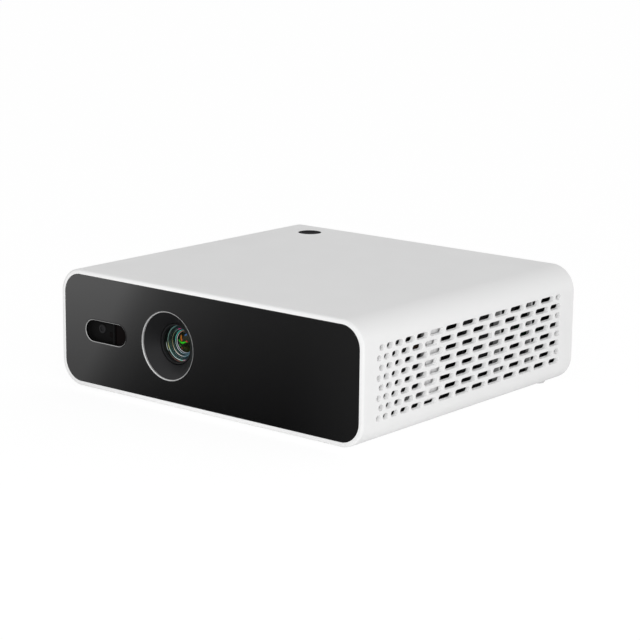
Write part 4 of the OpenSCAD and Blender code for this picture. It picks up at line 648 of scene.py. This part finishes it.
def stadium_loop(centre, length, radius, steps=10):
    """Points of a stadium along the first axis, with their outward directions."""
    points, outs = [], []
    half = length / 2 - radius
    for side, start in ((1, -90), (-1, 90)):
        for k in range(steps + 1):
            a = math.radians(start + 180 * k / steps)
            out = (math.cos(a), math.sin(a))
            points.append((centre[0] + side * half + radius * out[0], centre[1] + radius * out[1]))
            outs.append(out)
    return points, outs


def rounded_loop(centre, width, height, radius, steps=6):
    """Points of a rounded rectangle, with their outward directions."""
    points, outs = [], []
    for quadrant, (sx, sy) in enumerate(((1, 1), (-1, 1), (-1, -1), (1, -1))):
        for k in range(steps + 1):
            a = math.radians(90 * quadrant + 90 * k / steps)
            out = (math.cos(a), math.sin(a))
            points.append((centre[0] + sx * (width / 2 - radius) + radius * out[0],
                           centre[1] + sy * (height / 2 - radius) + radius * out[1]))
            outs.append(out)
    return points, outs


def circle_loop(centre, radius, steps):
    outs = [(math.cos(2 * math.pi * k / steps), math.sin(2 * math.pi * k / steps)) for k in range(steps)]
    return [(centre[0] + radius * x, centre[1] + radius * y) for x, y in outs], outs


def moved(points, outs, distance):
    return [(p[0] + o[0] * distance, p[1] + o[1] * distance) for p, o in zip(points, outs)]


def quarter(radius, steps):
    """A convex quarter round as (offset, depth, (sideways, outward) normal), from the face inwards."""
    turns = [math.pi / 2 * k / steps for k in range(steps + 1)]
    return [(radius * (1 - math.sin(a)), radius * (1 - math.cos(a)), (math.sin(a), math.cos(a)))
            for a in turns]


def countersink(wide, depth):
    """A straight cone as the edge of a hole, in the form that quarter gives."""
    s = math.sqrt(0.5)
    return [(wide, 0, (s, s)), (0, depth, (s, s))]


def pierce(skin, loop, place, outward, depth, edge, wall_paint=0):
    """Side walls of a hole through a wall, with the given edge on the outside.
    place(p, d) gives the point at depth d under the surface, and wall_paint is for the wall behind
    the edge. Returns the outer and inner loops."""
    points, outs = loop
    rows = []
    for offset, down, lean in edge + [(0, edge[-1][1], (1, 0)), (0, depth, (1, 0))]:
        ring = moved(points, outs, offset)
        normals = []
        for p, out in zip(ring, outs):
            beside = (p[0] + out[0] * MM, p[1] + out[1] * MM)
            flat = Vector(place(beside, down)) - Vector(place(p, down))
            normals.append(flat / MM * -lean[0] + Vector(outward(p)) * lean[1])
        rows.append(([place(p, down) for p in ring], normals))
    for k, ((row_a, n_a), (row_b, n_b)) in enumerate(zip(rows, rows[1:])):
        skin.paint = wall_paint if k == len(rows) - 2 else 0
        skin.strip(row_a, row_b, n_a, n_b)
    skin.paint = 0
    return moved(points, outs, edge[0][0]), points


def turned(skin, centre, profile, steps, paints=None):
    """Adds a surface turned about an axis along Y: profile is (radius, distance along the axis), with the
    outside on the left-hand side of its direction of travel, and paints gives each segment's material."""
    def place(r, turn, d):
        return (centre[0] + r * math.cos(turn), centre[1] + d, centre[2] + r * math.sin(turn))

    segments = []
    for (r0, d0), (r1, d1) in zip(profile, profile[1:]):
        length = math.hypot(r1 - r0, d1 - d0)
        segments.append((-(d1 - d0) / length, (r1 - r0) / length))
    limit = math.cos(math.radians(CREASE))

    def corner_normal(i, j):
        """Normal of segment i at its end j, blended with a neighbour that turns less than the crease."""
        n = segments[i]
        other = i + (1 if j else -1)
        if 0 <= other < len(segments):
            m = segments[other]
            if n[0] * m[0] + n[1] * m[1] > limit:
                return (n[0] + m[0], n[1] + m[1])
        return n

    def spin(n, turn):
        return Vector(place(n[0], turn, n[1])) - Vector(place(0, 0, 0))

    turns = [2 * math.pi * k / steps for k in range(steps)]
    for i in range(len(segments)):
        (r0, d0), (r1, d1) = profile[i], profile[i + 1]
        n0, n1 = corner_normal(i, 0), corner_normal(i, 1)
        skin.paint = paints[i] if paints else 0
        skin.strip([place(r0, a, d0) for a in turns], [place(r1, a, d1) for a in turns],
                   [spin(n0, a) for a in turns], [spin(n1, a) for a in turns])
    skin.paint = 0


def on_body(obj, body, slot, *nodes):
    """Rides a piece on its body, in the place of the CAD nodes it stands for."""
    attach(obj, body)
    if nodes:
        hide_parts(*nodes)
    return obj


# ------------------------------------------------------------------ sleeve
def perimeter(inset):
    """Points (x, z) round the sleeve at an inset from its outer face, with outward directions:
    four long edges, each with a first step that the slotted side walls cover."""
    radius = EDGE_R - inset
    first = math.asin(OVER_FLAT / radius)
    turns = [0.0] + [first + (math.pi / 2 - first) * k / ARC_STEPS for k in range(ARC_STEPS + 1)]
    points, outs = [], []
    for sx, sz in ((1, 1), (-1, 1), (-1, -1), (1, -1)):
        for a in turns if sx == sz else reversed(turns):
            out = (sx * math.cos(a), sz * math.sin(a))
            points.append((sx * FLAT_X + radius * out[0], MID_Z + sz * FLAT_Z + radius * out[1]))
            outs.append(out)
    return points, outs


def ring_rows(skin, rows):
    """Closed rows round the sleeve's section: each is (inset, y, (outward, along y) normal)."""
    made = []
    for inset, y, (outward, along) in rows:
        points, outs = perimeter(inset)
        made.append(([(x, y, z) for x, z in points],
                     [(outward * o[0], along, outward * o[1]) for o in outs]))
    for (row_a, n_a), (row_b, n_b) in zip(made, made[1:]):
        skin.strip(row_a, row_b, n_a, n_b)


def round_rows(inset, y, radius, sign, steps, side=1):
    """Rows of a quarter round at an end of the sleeve, from its side to its end face; sign is -1 at the
    front and 1 at the rear, and side is -1 for the inner face."""
    rows = []
    for k in range(steps + 1):
        a = math.pi / 2 * k / steps
        rows.append((inset + side * radius * (1 - math.cos(a)), y - sign * radius * (1 - math.sin(a)),
                     (side * math.cos(a), sign * math.sin(a))))
    return rows


def side_wall(side):
    """Maps of the left or right wall: p is (y, z), and the depth runs inwards."""
    def over(p):
        return max(0.0, abs(p[1] - MID_Z) - FLAT_Z)

    def place(p, depth=0.0):
        return (side * (FLAT_X + math.sqrt((EDGE_R - depth) ** 2 - over(p) ** 2)), p[0], p[1])

    def outward(p):
        lean = over(p) / EDGE_R
        return (side * math.sqrt(1 - lean * lean), 0, math.copysign(lean, p[1] - MID_Z))

    return place, outward


def level_wall(side, at):
    """Maps of the top or bottom wall: p is (y, x)."""
    return (lambda p, depth=0.0: (p[1], p[0], at - side * depth)), (lambda p: (0, 0, side))


def vent_slots(rows):
    """Centre and length of each slot as (y, z, length)."""
    stop = REAR - FRONT - VENT_REAR_MARGIN
    found = []
    for row in rows:
        z = MID_Z + ((VENT_ROWS - 1) / 2 - row) * VENT_ROW_PITCH
        start = VENT_FIRST + (VENT_SHIFT if row % 2 == 0 else 0)
        while start <= stop - VENT_H:
            pitch = min(VENT_PITCH_MAX, VENT_PITCH_FIRST + VENT_GROWTH * max(0, start - VENT_FIRST))
            end = min(start + pitch - VENT_WEB, stop)
            length = max(end - start, VENT_LEAST)
            found.append((FRONT + (start + end) / 2, z, length))
            start += pitch
    return found


def base_screw_places():
    """The base screws' places, as (y, x)."""
    low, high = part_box("base_screws")
    return [(y, x) for x in (low.x + SCREW_INSET, high.x - SCREW_INSET)
            for y in (low.y + SCREW_INSET, high.y - SCREW_INSET)]


def channel_places():
    """The screw channels' axes, as (x, z)."""
    reach = (EDGE_R - WALL - CHANNEL_SEAT) * math.sqrt(0.5)
    return [(sx * (FLAT_X + reach), MID_Z + sz * (FLAT_Z + reach)) for sx in (-1, 1) for sz in (-1, 1)]


def make_sleeve():
    skin = Skin()
    # Paints: the shell; its inner faces black as painted shade; the slots' walls lighter and faintly glowing
    # as painted light; the ribs darker as painted shade
    shell, inside_shade, bore_glow, rib_shade = 0, 1, 2, 3
    y0, y1 = FRONT + RIM_R, REAR - REAR_ROUND
    inner0, inner1 = FRONT + INNER_ROUND, REAR - INNER_ROUND

    # Front rim and rear edge, each from the outer side over the end face to the inner side
    for y, radius, sign in ((FRONT, RIM_R, -1), (REAR, REAR_ROUND, 1)):
        inner = round_rows(WALL, y, INNER_ROUND, sign, 4, side=-1)
        ring_rows(skin, round_rows(0, y, radius, sign, 8) + inner[::-1])

    # Long edges, outside and inside, the inside black as painted shade
    for inset, ya, yb, sign in ((0, y0, y1, 1), (WALL, inner0, inner1, -1)):
        points, outs = perimeter(inset)
        count = len(points) // 4
        for corner in range(4):
            ids = list(range(corner * count, (corner + 1) * count))
            ids = ids[1:] if corner % 2 == 0 else ids[:-1]
            skin.paint = inside_shade if sign < 0 else shell
            normals = [(sign * outs[i][0], 0, sign * outs[i][1]) for i in ids]
            skin.strip([(points[i][0], ya, points[i][1]) for i in ids],
                       [(points[i][0], yb, points[i][1]) for i in ids], normals, normals, closed=False)

    # The openings: each hole is (loop, edge)
    slot_edge, small_edge = quarter(VENT_ROUND, 3), quarter(SMALL_EDGE, 3)
    head_edge = countersink(SCREW_HEAD_R - SCREW_HOLE_R, SCREW_HEAD_R - SCREW_HOLE_R)
    low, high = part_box("tray_bezel")
    mouth = rounded_loop(((low.y + high.y) / 2, (low.z + high.z) / 2), high.y - low.y + 2 * MOUTH_GAP,
                         high.z - low.z + 2 * MOUTH_GAP, MOUTH_R)
    right_slots = vent_slots(range(VENT_ROWS))
    left_slots = [s for s in right_slots if s[1] - VENT_H / 2 > high.z + MOUTH_CLEAR]
    right_holes, left_holes = ([(stadium_loop(s[:2], s[2], VENT_H / 2), slot_edge) for s in slots]
                               for slots in (right_slots, left_slots))
    low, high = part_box("power_button")
    button = circle_loop(((low.y + high.y) / 2, (low.x + high.x) / 2), BUTTON_HOLE_R, 96)
    screws = [(circle_loop(c, SCREW_HOLE_R, 32), head_edge) for c in base_screw_places()]
    insert = circle_loop((0, 0), INSERT_R, 64)

    # The four walls round their openings
    side_levels = [MID_Z + z for z in (-FLAT_Z - OVER_FLAT, -FLAT_Z, FLAT_Z, FLAT_Z + OVER_FLAT)]
    walls = [
        (side_wall(1), side_levels, right_holes),
        (side_wall(-1), side_levels, left_holes + [(mouth, small_edge)]),
        (level_wall(1, TOP), [-FLAT_X, FLAT_X], [(button, small_edge)]),
        (level_wall(-1, BASE), [-FLAT_X, FLAT_X], screws + [(insert, small_edge)]),
    ]
    for (place, outward), levels, holes in walls:
        outer_holes, inner_holes = [], []
        for loop, edge in holes:
            # The slots' walls take the painted light: lighter than the shell, and faintly glowing
            wall_paint = bore_glow if edge is slot_edge else shell
            outer, inner = pierce(skin, loop, place, outward, WALL, edge, wall_paint)
            outer_holes.append(outer)
            inner_holes.append(inner)
        for ya, yb, depth, sign, loops in ((y0, y1, 0, 1, outer_holes),
                                           (inner0, inner1, WALL, -1, inner_holes)):
            outline = [(ya, z) for z in reversed(levels)] + [(yb, z) for z in levels]
            skin.paint = inside_shade if sign < 0 else shell
            plate(skin, outline, loops, lambda p: place(p, depth), lambda p: sign * Vector(outward(p)))

    # Ribs inside the right wall, painted darker than the shell as shade, and the screw channels in the
    # corners, black inside as painted shade
    skin.paint = rib_shade
    for distance, depth in RIBS:
        skin.block((RIGHT - WALL - depth, FRONT + distance, MID_Z - RIB_H / 2),
                   (RIGHT - WALL, FRONT + distance + RIB_T, MID_Z + RIB_H / 2))
    length = REAR - FRONT - 2 * PANEL_BACK
    channel = [(CHANNEL_BORE_R, length), (CHANNEL_R, length), (CHANNEL_R, 0), (CHANNEL_BORE_R, 0),
               (CHANNEL_BORE_R, length)]
    for x, z in channel_places():
        turned(skin, (x, FRONT + PANEL_BACK, z), channel, 32, [inside_shade] * 4)
    on_body(skin.build("sleeve", "white_shell", "shell_inside_shade", "white_bore_glow", "white_rib_shade"),
            "housing", "white_shell", "housing_sleeve")


# ------------------------------------------------------------------ front
def window_loop(radius):
    return stadium_loop((WINDOW_X, MID_Z), WINDOW_LEN - 2 * (WINDOW_R - radius), radius, 24)


def make_front_panel():
    skin = Skin()
    front, back = FRONT + PANEL_RECESS, FRONT + PANEL_BACK
    gap = WALL + PANEL_GAP
    ring_rows(skin, round_rows(gap, front, PANEL_EDGE, -1, 4)[::-1] + [(gap, back, (1, 0))])
    holes = [circle_loop((LENS_X, MID_Z), LENS_RING_R, LENS_STEPS), window_loop(WINDOW_R)]

    def place(p, depth=0.0):
        return (p[0], front + depth, p[1])

    def forward(_):
        return (0, -1, 0)

    loops = [pierce(skin, loop, place, forward, PANEL_T, quarter(HOLE_EDGE, 2)) for loop in holes]
    plate(skin, perimeter(gap + PANEL_EDGE)[0], [outer for outer, _ in loops], place, forward)
    plate(skin, perimeter(gap)[0], [inner for _, inner in loops],
          lambda p: place(p, PANEL_T), lambda p: (0, 1, 0))
    peg = [(0, PEG_LENGTH), (PEG_R, PEG_LENGTH), (PEG_R, -PEG_ROOT), (0, -PEG_ROOT)]
    for x, z in channel_places():
        turned(skin, (x, back, z), peg, 24)
    on_body(skin.build("panel", "panel_black"), "housing", "panel_black", "front_panel")


def make_window_trim():
    """Stadium trim of the sensor window: a black land with a fine bright bevel along its inside."""
    land = WINDOW_R - WINDOW_LAND
    profile = [(WINDOW_R, RING_BACK), (WINDOW_R, 0), (land, 0), (land - WINDOW_LIP, WINDOW_LIP),
               (WINDOW_R - BEVEL, BEVEL), (WINDOW_R - BEVEL, RING_BACK), (WINDOW_R, RING_BACK)]
    black, bright = 0, 1
    outs = window_loop(WINDOW_R)[1]
    skin = Skin()
    for a, b, paint in zip(profile, profile[1:], (black, black, bright, black, black, black)):
        length = math.hypot(b[0] - a[0], b[1] - a[1])
        across, along = (b[1] - a[1]) / length, (a[0] - b[0]) / length
        rows = [[(x, FRONT + WINDOW_FRONT + d, z) for x, z in window_loop(r)[0]] for r, d in (a, b)]
        normals = [(-across * x, -along, -across * z) for x, z in outs]
        skin.paint = paint
        skin.strip(*rows, normals, normals)
    on_body(skin.build("window_bevel", "panel_black", "window_trim"),
            "housing", "polished_trim", "window_trim")


# ------------------------------------------------------------------ lens
def lens_turned(name, slot, body, profile, nodes, materials=None, paints=None):
    """A piece turned about the lens axis; its profile's depths count from the front plane."""
    if sum(r0 * d1 - r1 * d0 for (r0, d0), (r1, d1) in zip(profile, profile[1:])) > 0:
        profile, paints = profile[::-1], paints and paints[::-1]
    skin = Skin()
    turned(skin, (LENS_X, FRONT, MID_Z), profile, LENS_STEPS, paints)
    return on_body(skin.build(name, *(materials or [slot])), body, slot, *nodes)


def dome(edge_r, edge_d, radius, steps=12):
    """Profile of a lens face that bulges to the front, from its edge to the axis."""
    sag = radius - math.sqrt(radius ** 2 - edge_r ** 2)
    points = []
    for k in range(steps + 1):
        r = edge_r * (1 - k / steps)
        points.append((r, edge_d - (sag - (radius - math.sqrt(radius ** 2 - r ** 2)))))
    return points


def make_lens():
    r = LENS_RING_R
    inner, land = r - BEVEL, r - RING_LAND
    polished, black = 0, 1
    lens_turned("ring", "polished_trim", "housing", [
        (inner, RING_BACK), (inner, BEVEL), (inner - 0.1 * MM, 0.42 * MM), (inner - 0.06 * MM, 0.36 * MM),
        (land - 0.1 * MM, 0.07 * MM), (land, 0.05 * MM), (land + 0.03 * MM, 0.1 * MM),
        (r - 0.04 * MM, 0.12 * MM), (r, 0.16 * MM), (r, RING_BACK), (inner, RING_BACK)],
        ["lens_trim_ring"], ["polished_trim", "panel_black"], [polished] * 6 + [black] * 4)

    flange, behind = r + SHROUD_FLANGE, PANEL_BACK + SHROUD_WALL
    throat_out = THROAT + SHROUD_WALL
    lens_turned("shroud", "inner_black", "housing", [
        (THROAT, THROAT_BACK), (THROAT, LENS_DEPTH - 0.2 * MM), (THROAT + 0.1 * MM, LENS_DEPTH - 0.42 * MM),
        (inner - 0.1 * MM, RING_BACK + 0.08 * MM), (inner, RING_BACK), (r, RING_BACK), (r, PANEL_BACK),
        (flange, PANEL_BACK), (flange, behind), (r - 1.6 * MM, behind),
        (throat_out, LENS_DEPTH), (throat_out, THROAT_BACK), (THROAT, THROAT_BACK)],
        ["lens_shroud"])

    hole, depth, behind = RETAINER_HOLE, LENS_DEPTH, LENS_DEPTH + RETAINER_H
    lens_turned("retainer", "inner_black", "lens_carrier", [
        (hole + 0.35 * MM, behind), (hole, depth + 0.9 * MM), (hole + 0.05 * MM, depth + 0.75 * MM),
        (hole + 0.34 * MM, depth + 0.06 * MM), (hole + 0.44 * MM, depth), (CARRIER_R - 0.12 * MM, depth),
        (CARRIER_R, depth + 0.12 * MM), (CARRIER_R, behind), (hole + 0.35 * MM, behind)],
        ["lens_retainer"])

    # Front element as a thin coated shell, over the rims and faces of the elements behind it, which carry
    # painted reflections
    face = dome(GLASS_R, GLASS_DEPTH, GLASS_DOME)
    back = [(radius, d + GLASS_T) for radius, d in reversed(face)]
    lens_turned("front_glass", "lens_glass", "lens_carrier", face + back + [face[0]],
                ["front_lens"], ["front_glass"])

    profile, paints = [(GLASS_R, BLOCK_EDGE)], []
    for i, (radius, d, width, _) in enumerate(REFLECTION_RIMS):
        profile += [(radius + width, d), (radius, d + width * RIM_SLOPE)]
        paints += [0, i + 1]
    last = profile[-1]
    face = dome(last[0] - 0.05 * MM, last[1] + 0.6 * MM, LAST_DOME, 8)
    profile += face
    paints += [0] + [len(REFLECTION_RIMS) + 1] * (len(face) - 1)
    end = profile[-1][1] + BLOCK_BEHIND
    profile += [(0, end), (BLOCK_WAIST_R, end), (BLOCK_WAIST_R, BLOCK_STEP), (GLASS_R, BLOCK_RIM), profile[0]]
    paints += [0] * 5
    lens_turned("optics", "lens_glass", "lens_carrier", profile, ["front_lens"],
                ["mount_black"] + [rim[3] for rim in REFLECTION_RIMS] + ["element_face"], paints)


# ------------------------------------------------------------------ stage
def make_world():
    """White backdrop for the camera, and soft light for the object."""
    world = bpy.data.worlds.new("studio")
    bpy.context.scene.world = world
    world.use_nodes = True
    tree = world.node_tree
    tree.nodes.clear()
    rays = add_node(tree, "LightPath").outputs
    lean = add_node(tree, "VectorMath", {0: add_node(tree, "TexCoord").outputs["Generated"]})
    lean.operation = "DOT_PRODUCT"
    lean.inputs[1].default_value = SKY_TOWARDS
    glow = add_math(tree, "ADD", add_math(tree, "MULTIPLY", lean.outputs["Value"], SKY_SLOPE), SKY_LIGHT)
    glow = add_math(tree, "MAXIMUM", glow, SKY_LEAST)
    seen = add_math(tree, "ADD", rays["Is Camera Ray"], rays["Is Glossy Ray"])
    seen = add_math(tree, "ADD", seen, rays["Is Transmission Ray"], clamp=True)
    light, shown = (add_shader(tree, "Background", {"Color": (1, 1, 1), "Strength": strength})
                    for strength in (glow, 1.0))
    add_node(tree, "OutputWorld", {"Surface": add_shader(tree, "MixShader", {0: seen, 1: light, 2: shown})})


def floor_tone(tree, across, ahead):
    """Tone of the floor in mirror-like surfaces."""
    slide = add_math(tree, "ADD", across, add_math(tree, "MULTIPLY", ahead, GLOSS_FALL))
    near = map_range(tree, ahead, 0.0, GLOSS_FAR, GLOSS_NEAR, 1.0)
    hold = grey_ramp(tree, slide, HOLD_STOPS)
    near = add_math(tree, "MULTIPLY", near, add_math(tree, "SUBTRACT", 1.0, hold))
    return add_math(tree, "MULTIPLY", grey_ramp(tree, slide, GLOSS_STOPS), add_math(tree, "ADD", near, hold))


def floor_glow(tree, across, ahead):
    """Light that the floor gives off towards the object: more in front of the panel than beside the slots."""
    before = add_math(tree, "MULTIPLY", ahead, 1 / FRONT_GLOW_START, clamp=True)
    aside = add_math(tree, "MULTIPLY", across, 1 / FRONT_GLOW_END)
    aside = add_math(tree, "SUBTRACT", 1.0, aside, clamp=True)
    within = add_math(tree, "ADD", across, LEFT_GLOW_X)
    within = add_math(tree, "DIVIDE", within, LEFT_GLOW_WIDE, clamp=True)
    front = add_math(tree, "MULTIPLY", add_math(tree, "MULTIPLY", before, aside), within)
    base = add_math(tree, "MULTIPLY", within, FLOOR_GLOW - LEFT_GLOW)
    base = add_math(tree, "ADD", base, LEFT_GLOW)
    return add_math(tree, "ADD", add_math(tree, "MULTIPLY", front, FRONT_GLOW), base)


def floor_material():
    """Pale floor: white with a faint shadow to the camera, a pale diffuse floor to the light, and to
    glossy surfaces a white that falls off towards the front and right."""
    mat = bpy.data.materials.new("floor")
    mat.use_nodes = True
    tree = mat.node_tree
    tree.nodes.clear()
    rays = add_node(tree, "LightPath").outputs
    place = add_node(tree, "NewGeometry").outputs
    parts = split(tree, place["Position"])
    across = parts["X"]
    ahead = add_math(tree, "MAXIMUM", add_math(tree, "SUBTRACT", FRONT, parts["Y"]), 0.0)

    def emission(strength):
        return add_shader(tree, "Emission", {"Strength": strength})

    def diffuse(albedo):
        return add_shader(tree, "BsdfDiffuse", {"Color": (albedo,) * 3})

    def choose(fac, a, b):
        return add_shader(tree, "MixShader", {0: fac, 1: a, 2: b})

    seen = add_shader(tree, "AddShader", {0: emission(FLOOR_WHITE), 1: diffuse(FLOOR_SHADOW)})
    lit = add_shader(tree, "AddShader", {0: diffuse(FLOOR_ALBEDO),
                                         1: emission(floor_glow(tree, across, ahead))})
    shader = choose(rays["Is Glossy Ray"], lit, emission(floor_tone(tree, across, ahead)))
    shader = choose(rays["Is Transmission Ray"], shader, emission(1.0))
    shader = choose(rays["Is Camera Ray"], shader, seen)
    # Seen from below, the floor is clear, so that the underside shows
    below = add_math(tree, "MULTIPLY", place["Backfacing"], rays["Is Camera Ray"])
    shader = choose(below, shader, add_shader(tree, "BsdfTransparent"))
    add_node(tree, "OutputMaterial", {"Surface": shader})
    return mat


def make_floor():
    mesh = bpy.data.meshes.new("floor")
    h = FLOOR_HALF
    mesh.from_pydata([(-h, -h, 0), (h, -h, 0), (h, h, 0), (-h, h, 0)], [], [(0, 1, 2, 3)])
    floor = bpy.data.objects.new("floor", mesh)
    bpy.context.scene.collection.objects.link(floor)
    mesh.materials.append(floor_material())


def make_key_light():
    """Square soft lamp that looks at the housing from the front right."""
    back = direction(KEY_AZIMUTH, KEY_ELEVATION)
    data = bpy.data.lights.new("key", "AREA")
    data.energy = KEY_POWER
    data.size = KEY_SIZE
    lamp = bpy.data.objects.new("key", data)
    bpy.context.scene.collection.objects.link(lamp)
    lamp.location = Vector((0, 0, MID_Z)) + back * KEY_DISTANCE
    lamp.rotation_euler = (-back).to_track_quat("-Z", "Y").to_euler()
    lamp.visible_glossy = False


# ------------------------------------------------------------------ the scene
bpy.context.scene.view_settings.view_transform = "Standard"
make_camera()
make_materials()
dress_nodes()
make_world()
make_floor()
make_key_light()
make_sleeve()
make_front_panel()
make_window_trim()
make_lens()
